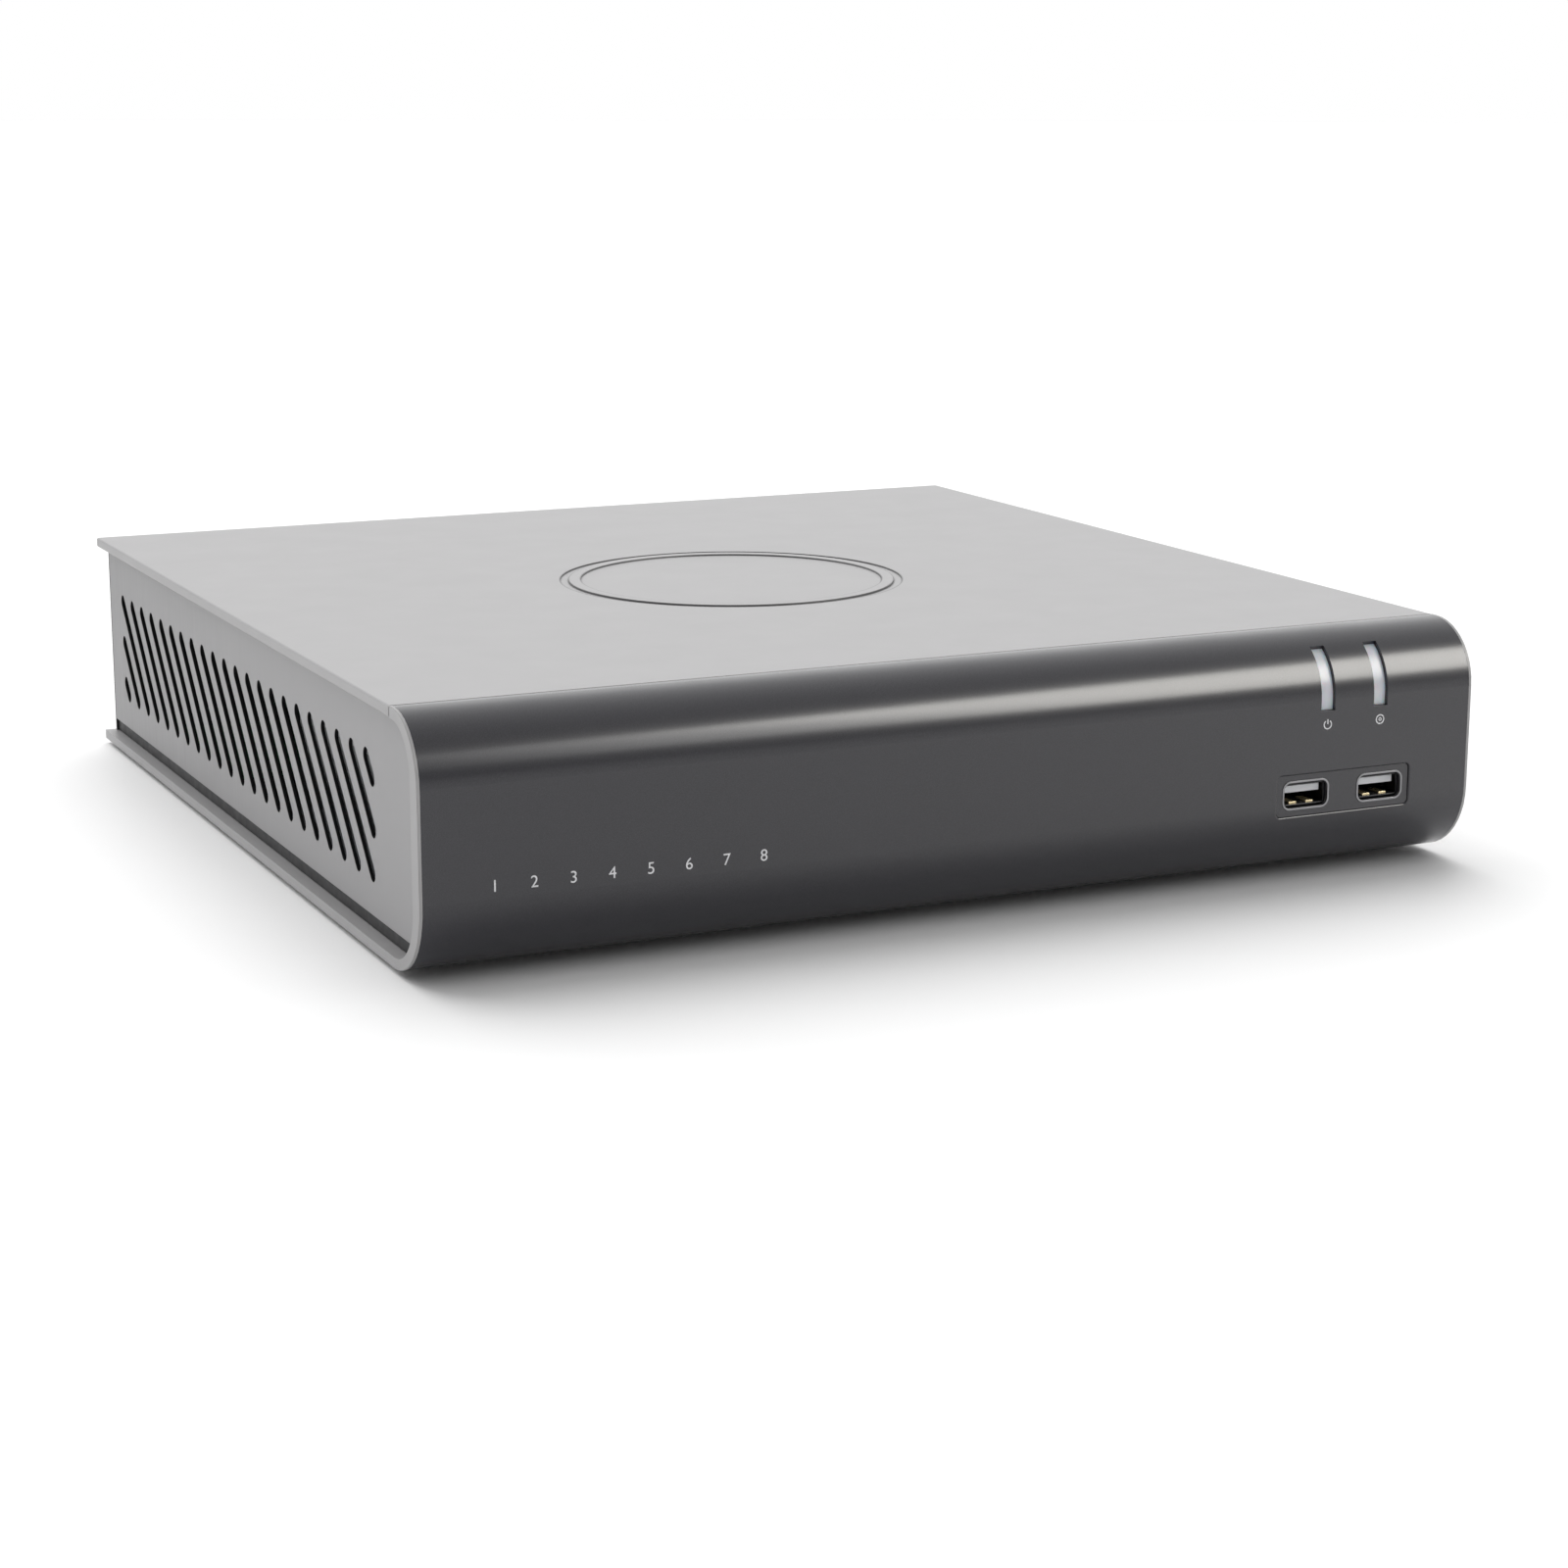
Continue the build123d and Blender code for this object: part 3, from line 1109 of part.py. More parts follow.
def make_board_parts():
    middle = (BOARD_FRONT + BOARD_REAR) / 2 - PROCESSOR_AHEAD
    save("processor", chip(PROCESSOR_X, middle, PROCESSOR))
    sink_low = BOARD_TOP + PROCESSOR[2]
    sink = chip(PROCESSOR_X, middle, SINK, sink_low)
    step = (SINK[0] - SINK_FIN) / (SINK_FINS - 1)
    fin = (SINK_FIN, SINK[1], SINK_FIN_HEIGHT + ROOT)
    for k in range(SINK_FINS):
        x = PROCESSOR_X - (SINK[0] - SINK_FIN) / 2 + k * step
        sink += chip(x, middle, fin, sink_low + SINK[2] - ROOT)
    save("heat_sink", sink)
    chips = [chip(PROCESSOR_X + x, middle + k * MEMORY_Y, MEMORY) for x in MEMORY_X for k in (-1, 1)]
    for k in range(DECODERS):
        x = BNC_MIDDLE + (k - (DECODERS - 1) / 2) * DECODER_PITCH
        chips.append(chip(x, BOARD_REAR - DECODER_REAR, DECODER))
    save("board_chips", *chips)
    cans = []
    for k in range(CANS):
        can = rod("Z", (CAN_X + k * CAN_PITCH, BOARD_REAR - CAN_REAR, BOARD_TOP), CAN_HEIGHT, CAN_RADIUS)
        cans.append(fillet(can.edges().group_by(Axis.Z)[-1], CAN_ROUND))
    save("capacitors", *cans)
    y = BOARD_FRONT + CELL_FRONT
    cell_at = (CELL_X, y, BOARD_TOP + HOLDER_FLOOR)
    holder = rod("Z", (CELL_X, y, BOARD_TOP), HOLDER_HEIGHT, HOLDER_RADIUS)
    save("cell_holder", holder - rod("Z", cell_at, HOLDER_HEIGHT, CELL_RADIUS + FIT))
    save("coin_cell", rod("Z", cell_at, CELL_THICK, CELL_RADIUS))


# ---- front board, sockets and windows ----
def make_front_board():
    """Saves the front board; returns its screws."""
    x0, x1 = RIGHT - FRONT_BOARD_X[0], RIGHT - FRONT_BOARD_X[1]
    board = block(x0, x1, FRONT_BOARD_Y, FRONT_BOARD_Y + BOARD, *FRONT_BOARD_Z)
    screws = []
    for x, z in boss_places():
        board -= hole("Y", (x, FRONT_BOARD_Y - OVERCUT, z), BOARD + 2 * OVERCUT, FIT)
        screws.append(screw("Y", (x, FRONT_BOARD_Y - BOSS_SCREW, z), BOSS_SCREW + BOARD, 1))
    save("front_board", board)
    return screws


def make_front_sockets():
    """Saves the bezel, rings, shells and springs of the front sockets; returns the tongues."""
    bezel = soft_plate(
        BEZEL_X, SOCKET_Z, BEZEL_WIDTH - 2 * FIT, BEZEL_HEIGHT - 2 * FIT,
        BEZEL_SUNK, BEZEL_BACK, BEZEL_ROUND - FIT,
    )
    low, high = BOTTOM_RADIUS + FIT, SOCKET_Z + BEZEL_HEIGHT / 2 + BEZEL_FLANGE
    bezel += bar(BEZEL_X, BEZEL_WIDTH + 2 * BEZEL_FLANGE, FRONT_WALL, BEZEL_BACK, low, high)
    ring_y0, ring_y1 = BEZEL_SUNK - USB_RING_PROUD, BEZEL_SUNK + USB_RING_DEEP
    ring_size = [side + 2 * USB_RING for side in USB_HOLE]
    ring_round = USB_HOLE_ROUND + USB_RING
    seat_size = [side + 2 * RUN for side in ring_size]
    shell_low = SOCKET_Z - USB_SHELL[1] / 2
    tongue_low = SOCKET_Z + USB_TONGUE_RISE - USB_TONGUE[1] / 2
    spring_low = shell_low + USB_WALL
    spring_width, spring_height, spring_length = USB_SPRING
    spring_y = USB_MOUTH + USB_SPRING_BACK
    shells, tongues, springs, rings = [], [], [], []
    for from_right in SOCKET_X:
        x = RIGHT - from_right
        bezel -= soft_plate(x, SOCKET_Z, *USB_HOLE, -OVERCUT, BEZEL_BACK + OVERCUT, USB_WALL)
        bezel -= soft_plate(x, SOCKET_Z, *seat_size, -OVERCUT, ring_y1, ring_round + RUN)
        ring = soft_plate(x, SOCKET_Z, *ring_size, ring_y0, ring_y1, ring_round)
        rings.append(ring - soft_plate(x, SOCKET_Z, *USB_HOLE, -OVERCUT, ring_y1 + OVERCUT, USB_HOLE_ROUND))
        length = FRONT_BOARD_Y - USB_MOUTH
        shells.append(socket_shell(x, shell_low, USB_SHELL, length, USB_MOUTH, -1))
        y0, y1 = USB_MOUTH + USB_TONGUE_BACK, FRONT_BOARD_Y - SHELL_BACK
        tongues.append(bar(x, USB_TONGUE[0], y0, y1, tongue_low, tongue_low + USB_TONGUE[1]))
        for side in (-1, 1):
            spring_x = x + side * USB_SPRING_X
            y_end, top = spring_y + spring_length, spring_low + spring_height
            springs.append(bar(spring_x, spring_width, spring_y, y_end, spring_low, top))
    save("usb_bezel", bezel)
    save("usb_rings", *rings)
    save("front_usb_shells", *shells)
    save("front_usb_springs", *springs)
    return tongues


def make_windows():
    flange_y = FRONT_WALL + RUN
    pipe_y = flange_y + WINDOW_FLANGE_THICK / 2
    lamp_y = FRONT_BOARD_Y - LAMP_LENGTH
    lens_zone = window_zone(WINDOW_WIDTH - 2 * FIT, WINDOW_LOW + FIT, WINDOW_TURN - WINDOW_END_GAP)
    flange_zone = window_zone(
        WINDOW_WIDTH + 2 * WINDOW_FLANGE, WINDOW_LOW - WINDOW_FLANGE, WINDOW_TURN + WINDOW_FLANGE_TURN)
    window = (casing(WINDOW_SUNK) - casing(FRONT_WALL + WINDOW_OVERLAP)) & lens_zone
    window += (casing(flange_y) - casing(flange_y + WINDOW_FLANGE_THICK)) & flange_zone
    window += rod("Y", (0, pipe_y, LAMP_Z), lamp_y - LAMP_GAP - pipe_y, LAMP_RADIUS)
    dome_y = lamp_y + LAMP_RADIUS
    lamp = rod("Y", (0, dome_y, LAMP_Z), LAMP_LENGTH - LAMP_RADIUS, LAMP_RADIUS)
    lamp += Pos(0, dome_y, LAMP_Z) * Sphere(LAMP_RADIUS)
    save("light_windows", *[Pos(RIGHT - x, 0, 0) * window for x in WINDOW_X])
    save("indicator_lamps", *[Pos(RIGHT - x, 0, 0) * lamp for x in WINDOW_X])


# ---- hard disk ----
def sector(radius_in, radius_out, start, sweep, z0, z1):
    """A flat ring sector about the z axis."""
    ring = tube("Z", (0, 0, z0), z1 - z0, radius_out, radius_in)
    far = 2 * radius_out
    points = [(0, 0)]
    for share in (0, 0.5, 1):
        angle = math.radians(start + share * sweep)
        points.append((far * math.cos(angle), far * math.sin(angle)))
    return ring & flat_shape(points, z0, z1 - z0)


def make_disk_case():
    """Saves the disk's board, base, cover and screws."""
    side, front, rear = DISK_BOARD_INSET
    x0, x1, y0, y1 = DISK_LEFT, DISK_RIGHT, DISK_FRONT, DISK_REAR
    save("disk_board", block(x0 + side, x1 - side, y0 + front, y1 - rear, DISK_LOW, DISK_BOARD_TOP))
    base = block(x0, x1, y0, y1, DISK_BOARD_TOP, DISK_RIM)
    wall = DISK_WALL
    base -= block(x0 + wall, x1 - wall, y0 + wall, y1 - wall, DISK_INSIDE, DISK_RIM + OVERCUT)
    root = DISK_INSIDE - ROOT
    post = DISK_RIM - POST_LID_GAP - root
    base += rod("Z", (SPINDLE_X, SPINDLE_Y, root), post, SPINDLE_POST)
    base += rod("Z", (PIVOT_X, PIVOT_Y, root), post, PIVOT_POST)
    edge, inset = DISK_COVER_EDGE, DISK_COVER_INSET
    cover = block(x0 + edge, x1 - edge, y0 + edge, y1 - edge, DISK_RIM, DISK_RIM + DISK_COVER)
    cover += block(
        x0 + inset, x1 - inset, y0 + inset, y1 - inset, DISK_RIM + ROOT, DISK_RIM + DISK_COVER_RISE)
    corners = [
        (x, y)
        for x in (x0 + DISK_SCREW_INSET, x1 - DISK_SCREW_INSET)
        for y in (y0 + DISK_SCREW_INSET, y1 - DISK_SCREW_INSET)
    ]
    screws = []
    for x, y in corners:
        base += rod("Z", (x, y, root), DISK_RIM - root, DISK_SCREW_BOSS)
        base -= hole("Z", (x, y, DISK_RIM - DISK_SCREW_HOLE), DISK_SCREW_HOLE + OVERCUT)
        cover -= hole("Z", (x, y, DISK_RIM - OVERCUT), DISK_COVER + 2 * OVERCUT, FIT)
        screws.append(screw("Z", (x, y, DISK_RIM - DISK_SCREW_LENGTH), DISK_SCREW_LENGTH + DISK_COVER, 1))
    length = DISK_SIDE_SCREW_DEPTH + SHEET
    for y, z in disk_side_screw_places():
        base -= hole("X", (x0 - OVERCUT, y, z), OVERCUT + wall)
        base -= hole("X", (x1 - wall, y, z), OVERCUT + wall)
        screws.append(screw("X", (x0 - SHEET, y, z), length, -1))
        screws.append(screw("X", (x1 - DISK_SIDE_SCREW_DEPTH, y, z), length, 1))
    save("disk_base", base)
    save("disk_cover", cover)
    save("disk_screws", *screws)


def make_disk_works():
    """Saves the platters, the head arm and the magnet yoke."""
    height = HUB_HIGH - HUB_LOW
    hub = rod("Z", (0, 0, HUB_LOW), height, SPINDLE_HUB)
    for level in (PLATTER_LOW, PLATTER_LOW + PLATTER_PITCH):
        hub += rod("Z", (0, 0, HUB_LOW + level), PLATTER, PLATTER_RADIUS)
    hub -= rod("Z", (0, 0, HUB_LOW - OVERCUT), height + 2 * OVERCUT, SPINDLE_POST + RUN)
    save("disk_platters", Pos(SPINDLE_X, SPINDLE_Y, 0) * hub)
    # head arm: three fingers, a hub and a coil plate, pointing along x before it is turned
    arm = rod("Z", (0, 0, HUB_LOW), height, PIVOT_HUB)
    wide, middle, tip = ARM_HALF
    neck = ARM_LENGTH - ARM_TIP
    finger = [
        (ARM_ROOT, -wide), (ARM_ROOT, wide), (neck, middle),
        (ARM_LENGTH, tip), (ARM_LENGTH, -tip), (neck, -middle),
    ]
    for level in ARM_LEVELS:
        arm += flat_shape(finger, HUB_LOW + level, ARM_THICK)
    coil_in, coil_out, coil_sweep, coil_thick = COIL
    coil_low = HUB_LOW + COIL_RISE
    arm += sector(coil_in, coil_out, 180 - coil_sweep / 2, coil_sweep, coil_low, coil_low + coil_thick)
    arm -= rod("Z", (0, 0, HUB_LOW - OVERCUT), height + 2 * OVERCUT, PIVOT_POST + RUN)
    toward = math.degrees(math.atan2(SPINDLE_Y - PIVOT_Y, SPINDLE_X - PIVOT_X))
    rest = toward - ARM_PARK
    save("disk_head_arm", Pos(PIVOT_X, PIVOT_Y, 0) * (Rot(0, 0, rest) * arm))
    # magnet yoke: plates above and below the coil, joined outside its sweep
    inner, outer, joint = YOKE
    start = rest + 180 - YOKE_START
    upper = coil_low + YOKE_GAP
    top = upper + YOKE_HIGH
    yoke = sector(inner, outer, start, YOKE_SWEEP, DISK_INSIDE, DISK_INSIDE + YOKE_LOW)
    yoke += sector(inner, outer, start, YOKE_SWEEP, upper, top)
    yoke += sector(joint, outer, start, YOKE_SWEEP, DISK_INSIDE, top)
    save("disk_magnet_yoke", Pos(PIVOT_X, PIVOT_Y, 0) * yoke)


def make_disk_brackets():
    brackets = []
    for side, face in ((-1, DISK_LEFT), (1, DISK_RIGHT)):
        x0, x1 = sorted((face, face + side * SHEET))
        bracket = block(x0, x1, BRACKET_FRONT, BRACKET_REAR, TRAY_TOP, TRAY_TOP + BRACKET_HEIGHT)
        x0, x1 = sorted((face, face + side * BRACKET_FLANGE))
        bracket += block(x0, x1, BRACKET_FRONT, BRACKET_REAR, TRAY_TOP, TRAY_TOP + SHEET)
        for x, y in bracket_screw_places(side):
            bracket -= hole("Z", (x, y, TRAY_TOP - OVERCUT), SHEET + 2 * OVERCUT)
        for y, z in disk_side_screw_places():
            bracket -= hole("X", (face - SHEET - OVERCUT, y, z), 2 * (SHEET + OVERCUT), FIT)
        brackets.append(bracket)
    save("disk_brackets", *brackets)


# ---- wiring inside ----
def lead(points, bends, thick):
    """A round lead along a line with rounded corners."""
    path = FilletPolyline(*points, radius=bends)
    section = Plane(origin=path @ 0, z_dir=path % 0) * Circle(thick)
    return sweep(section, path)


def make_wiring():
    length, height = HEADER
    top = BOARD_TOP + height
    sockets, plugs, leads = [], [], []
    # disk to main board, data and power
    y_disk, y_board = DISK_REAR + PLUG_BLOCK / 2, BOARD_FRONT + DISK_HEADER_FRONT
    plug_low = DISK_LOW + DISK_PLUG_LOW
    high = BOARD_TOP + DISK_LEAD_HIGH
    for offset, half, thick in DISK_LEADS:
        x = DISK_X + offset
        plugs.append(bar(x, 2 * half, DISK_REAR, DISK_REAR + PLUG_BLOCK, plug_low, plug_low + PLUG_BLOCK))
        sockets.append(chip(x, y_board, (2 * half, length, height)))
        plugs.append(chip(x, y_board, (2 * half, length, PLUG_HEIGHT), top))
        points = [
            (x, y_disk, plug_low + PLUG_BLOCK), (x, y_disk, high),
            (x, y_board, high), (x, y_board, top + PLUG_HEIGHT),
        ]
        leads.append(lead(points, DISK_LEAD_BEND, thick))
    save("disk_leads", *leads)
    # front board to main board, dipping to the tray on the way
    x, y_board = RIGHT - FRONT_LEAD_INSET, BOARD_FRONT + FRONT_HEADER_FRONT
    deep, half_height = FRONT_LEAD_PLUG
    y_front = FRONT_BOARD_Y + BOARD
    z, width = FRONT_LEAD_Z, 2 * FRONT_LEAD_HALF
    sockets.append(bar(x, width, y_front, y_front + deep, z - half_height, z + half_height))
    plugs.append(bar(x, width, y_front + deep, y_front + 2 * deep, z - half_height, z + half_height))
    sockets.append(chip(x, y_board, (width, length, height)))
    plugs.append(chip(x, y_board, (width, length, PLUG_HEIGHT), top))
    points = [
        (x, y_front + 2 * deep, z), (x, y_front + 32, z), (x - 3, y_front + 60, 22),
        (x - 6, y_front + 112, 8), (x - 3, y_board - 34, 14), (x, y_board - 14, 34),
        (x, y_board, 38), (x, y_board, top + PLUG_HEIGHT),
    ]
    save("front_board_lead", lead(points, FRONT_LEAD_BENDS, FRONT_LEAD_THICK))
    # fan to main board
    x_fan, z_fan = FAN_X + FAN_SIZE / 2, FAN_Z - FAN_LEAD_BELOW
    x_head, y_head = x_fan + FAN_LEAD_RUN, BOARD_REAR - FAN_HEADER_REAR
    y_fan = FAN_FRONT + FAN_DEPTH / 2
    sockets.append(chip(x_head, y_head, (2 * FAN_HEADER_HALF, length, height)))
    plugs.append(chip(x_head, y_head, (2 * FAN_HEADER_HALF, length, PLUG_HEIGHT), top))
    points = [
        (x_fan, y_fan, z_fan), (x_head, y_fan, z_fan),
        (x_head, y_head, z_fan), (x_head, y_head, top + PLUG_HEIGHT),
    ]
    save("fan_lead", lead(points, FAN_LEAD_BEND, FAN_LEAD_THICK))
    save("board_sockets", *sockets)
    save("lead_plugs", *plugs)


def main():
    os.makedirs("parts", exist_ok=True)
    save("wrap_frame", make_wrap_frame())
    save("front_fascia", make_front_fascia())
    save("top_cover", make_top_cover())
    panel = make_side_panel()
    save("side_panel_right", panel)
    save("side_panel_left", mirror(panel, about=Plane.YZ))
    strip = make_groove_strip()
    save("groove_strips", strip, mirror(strip, about=Plane.YZ))
    save("base_tray", make_base_tray())
    save("rear_panel", make_rear_panel())
    save("rubber_feet", *make_feet())
    save("foot_screws", *make_foot_screws())
    save("chassis_screws", *make_chassis_screws())
    bnc_blocks, bnc_contacts = make_bnc()
    audio_block = make_rca()
    display_block, display_shell = make_vga()
    save("jack_housings", *bnc_blocks, audio_block, display_block)
    flat_shells, rear_tongues = make_flat_sockets()
    save("rear_socket_shells", *flat_shells, display_shell)
    network_springs = make_network_jack()
    make_terminals()
    power_pin = make_power_jack()
    switch_tabs = make_rocker_switch()
    save("rear_contacts", *bnc_contacts, *network_springs, power_pin, *switch_tabs)
    fan_screws = make_fan()
    save("rear_screws", *make_cover_screws(), *fan_screws)
    main_screws = make_main_board()
    make_board_parts()
    front_screws = make_front_board()
    save("board_screws", *main_screws, *front_screws)
    front_tongues = make_front_sockets()
    save("socket_tongues", *front_tongues, *rear_tongues)
    make_windows()
    make_disk_case()
    make_disk_works()
    make_disk_brackets()
    make_wiring()


main()
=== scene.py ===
import json
import math

import bmesh
import bpy
from mathutils import Matrix, Vector


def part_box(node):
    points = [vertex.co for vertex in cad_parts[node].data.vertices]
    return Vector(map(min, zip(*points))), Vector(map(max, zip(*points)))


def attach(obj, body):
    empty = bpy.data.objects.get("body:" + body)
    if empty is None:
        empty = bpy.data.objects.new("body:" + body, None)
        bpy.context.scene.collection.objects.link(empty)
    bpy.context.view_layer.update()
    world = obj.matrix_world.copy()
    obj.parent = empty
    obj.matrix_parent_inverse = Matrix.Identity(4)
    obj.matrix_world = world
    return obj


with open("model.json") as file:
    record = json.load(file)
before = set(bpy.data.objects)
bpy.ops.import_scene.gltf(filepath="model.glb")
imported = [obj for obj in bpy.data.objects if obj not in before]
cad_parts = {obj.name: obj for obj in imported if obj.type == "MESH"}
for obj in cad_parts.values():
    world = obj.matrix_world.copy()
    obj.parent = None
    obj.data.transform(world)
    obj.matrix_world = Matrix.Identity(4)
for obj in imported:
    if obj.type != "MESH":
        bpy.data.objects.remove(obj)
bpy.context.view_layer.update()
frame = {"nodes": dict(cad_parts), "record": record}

# Looks of a desktop video recorder: finishes for every piece, small printed marks,
# a pale floor, soft studio light and the camera. Metres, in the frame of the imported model.

MM = 0.001

# ---- camera: seen from the front left, a little above ----
AZIMUTH = math.radians(-25.31)
ELEVATION = math.radians(13.02)
ROLL = math.radians(0.11)
AIM = Vector((-0.0026, -0.0469, 0.0132))
DISTANCE = 0.906
LENS = 73.1
SENSOR = 36.0


def add_camera():
    data = bpy.data.cameras.new("camera")
    data.lens = LENS
    data.sensor_width = SENSOR
    data.clip_start = 0.01
    camera = bpy.data.objects.new("camera", data)
    bpy.context.scene.collection.objects.link(camera)
    flat = math.cos(ELEVATION)
    back = Vector((math.sin(AZIMUTH) * flat, -math.cos(AZIMUTH) * flat, math.sin(ELEVATION)))
    camera.location = AIM + back * DISTANCE
    turn = back.to_track_quat("Z", "Y").to_matrix() @ Matrix.Rotation(ROLL, 3, "Z")
    camera.rotation_euler = turn.to_euler()
    bpy.context.scene.camera = camera


# ---- material building blocks ----
class Finish:
    """A Principled material with a few helpers for its node tree."""

    def __init__(self, name, color, roughness=0.5, metallic=0.0):
        self.material = bpy.data.materials.new(name)
        self.material.use_nodes = True
        self.tree = self.material.node_tree
        self.shader = self.tree.nodes["Principled BSDF"]
        self.color = color
        self.shader.inputs["Base Color"].default_value = (*color, 1)
        self.shader.inputs["Roughness"].default_value = roughness
        self.shader.inputs["Metallic"].default_value = metallic
        self.place = self.tree.nodes.new("ShaderNodeTexCoord").outputs["Object"]
        self.normal = None

    def set(self, **values):
        for key, value in values.items():
            self.shader.inputs[key.replace("_", " ")].default_value = value
        return self

    def link(self, a, b):
        self.tree.links.new(a, b)

    def stretched(self, stretch):
        """The object's own coordinates, scaled along each axis."""
        node = self.tree.nodes.new("ShaderNodeMapping")
        node.inputs["Scale"].default_value = stretch
        self.link(self.place, node.inputs["Vector"])
        return node.outputs["Vector"]

    def noise(self, scale, detail=3.0, rough=0.55, stretch=(1, 1, 1)):
        node = self.tree.nodes.new("ShaderNodeTexNoise")
        node.inputs["Scale"].default_value = scale
        node.inputs["Detail"].default_value = detail
        node.inputs["Roughness"].default_value = rough
        self.link(self.stretched(stretch), node.inputs["Vector"])
        return node.outputs["Fac"]

    def cells(self, scale, stretch=(1, 1, 1), feature="F1"):
        node = self.tree.nodes.new("ShaderNodeTexVoronoi")
        node.feature = feature
        node.inputs["Scale"].default_value = scale
        self.link(self.stretched(stretch), node.inputs["Vector"])
        return node.outputs

    def coordinate(self, axis):
        split = self.tree.nodes.new("ShaderNodeSeparateXYZ")
        self.link(self.place, split.inputs[0])
        return split.outputs[axis]

    def size_of(self, axis):
        """The absolute value of one coordinate."""
        node = self.tree.nodes.new("ShaderNodeMath")
        node.operation = "ABSOLUTE"
        self.link(self.coordinate(axis), node.inputs[0])
        return node.outputs[0]

    def distance_from(self, x, y):
        """The distance from an upright axis through x, y."""
        shift = self.tree.nodes.new("ShaderNodeVectorMath")
        shift.operation = "SUBTRACT"
        self.link(self.place, shift.inputs[0])
        shift.inputs[1].default_value = (x, y, 0)
        flat = self.tree.nodes.new("ShaderNodeVectorMath")
        flat.operation = "MULTIPLY"
        self.link(shift.outputs["Vector"], flat.inputs[0])
        flat.inputs[1].default_value = (1, 1, 0)
        node = self.tree.nodes.new("ShaderNodeVectorMath")
        node.operation = "LENGTH"
        self.link(flat.outputs["Vector"], node.inputs[0])
        return node.outputs["Value"]

    def gap_to(self, value, target):
        """How far value is from target."""
        minus = self.tree.nodes.new("ShaderNodeMath")
        minus.operation = "SUBTRACT"
        self.link(value, minus.inputs[0])
        minus.inputs[1].default_value = target
        node = self.tree.nodes.new("ShaderNodeMath")
        node.operation = "ABSOLUTE"
        self.link(minus.outputs[0], node.inputs[0])
        return node.outputs[0]

    def least(self, a, b):
        node = self.tree.nodes.new("ShaderNodeMath")
        node.operation = "MINIMUM"
        self.link(a, node.inputs[0])
        self.link(b, node.inputs[1])
        return node.outputs[0]

    def ramp(self, value, low, high, out_low=0.0, out_high=1.0):
        node = self.tree.nodes.new("ShaderNodeMapRange")
        node.inputs["From Min"].default_value = low
        node.inputs["From Max"].default_value = high
        node.inputs["To Min"].default_value = out_low
        node.inputs["To Max"].default_value = out_high
        self.link(value, node.inputs["Value"])
        return node.outputs["Result"]

    def blend_colors(self, fac, a, b):
        node = self.tree.nodes.new("ShaderNodeMix")
        node.data_type = "RGBA"
        self.link(fac, node.inputs[0])
        for socket, value in ((node.inputs[6], a), (node.inputs[7], b)):
            if isinstance(value, tuple):
                socket.default_value = (*value, 1)
            else:
                self.link(value, socket)
        return node.outputs[2]

    def tint(self, fac, amount):
        """Lightens and darkens the base colour by amount, following fac."""
        dark = tuple(c * (1 - amount) for c in self.color)
        light = tuple(min(1.0, c * (1 + amount)) for c in self.color)
        return self.blend_colors(fac, dark, light)

    def paint(self, output):
        self.link(output, self.shader.inputs["Base Color"])
        return self

    def rough(self, value, low, high):
        self.link(self.ramp(value, 0.3, 0.7, low, high), self.shader.inputs["Roughness"])
        return self

    def round_edges(self, radius):
        """Softens sharp edges in the shading by radius."""
        node = self.tree.nodes.new("ShaderNodeBevel")
        node.samples = 6
        node.inputs["Radius"].default_value = radius
        self.normal = node.outputs["Normal"]
        self.link(self.normal, self.shader.inputs["Normal"])
        return self

    def bump(self, height, strength, depth):
        node = self.tree.nodes.new("ShaderNodeBump")
        node.inputs["Strength"].default_value = strength
        node.inputs["Distance"].default_value = depth
        self.link(height, node.inputs["Height"])
        if self.normal is not None:
            self.link(self.normal, node.inputs["Normal"])
        self.normal = node.outputs["Normal"]
        self.link(self.normal, self.shader.inputs["Normal"])
        return self


def painted(name, color, roughness, grain=0.12, mottle=0.02, edge=0.25 * MM):
    """Satin paint: a fine orange-peel skin over faint, wide mottling."""
    f = Finish(name, color, roughness)
    f.round_edges(edge)
    f.paint(f.tint(f.noise(26, 4), mottle))
    f.rough(f.noise(60, 3), roughness - 0.02, roughness + 0.02)
    f.bump(f.noise(1500, 2), grain, 0.05 * MM)
    return f


def moulded(name, color, roughness, grain=0.2, scale=1900, edge=0.2 * MM):
    """Moulded plastic with a fine spark-eroded grain."""
    f = Finish(name, color, roughness)
    f.round_edges(edge)
    f.paint(f.tint(f.noise(90, 3), 0.05))
    f.rough(f.noise(240, 2), roughness - 0.06, roughness + 0.06)
    f.bump(f.noise(scale, 2), grain, 0.06 * MM)
    return f


def brushed(name, color, roughness, stretch=(1, 40, 40), edge=0.12 * MM):
    """Metal with fine lines along one axis."""
    f = Finish(name, color, roughness, metallic=1.0)
    f.round_edges(edge)
    lines = f.noise(160, 4, 0.7, stretch)
    f.paint(f.tint(lines, 0.12))
    f.rough(lines, roughness - 0.08, roughness + 0.12)
    f.bump(lines, 0.12, 0.03 * MM)
    return f


def plated(name, color, roughness):
    """Bright plating with faint handling marks."""
    f = Finish(name, color, roughness, metallic=1.0)
    f.round_edges(0.12 * MM)
    marks = f.noise(320, 5, 0.75)
    f.paint(f.tint(marks, 0.08))
    f.rough(marks, roughness - 0.05, roughness + 0.14)
    f.bump(f.noise(900, 3), 0.05, 0.03 * MM)
    return f


# ---- the finishes, one for each material slot ----
SHELL_COLOR = (0.352, 0.348, 0.352)
SHELL_MOTTLE = 0.006
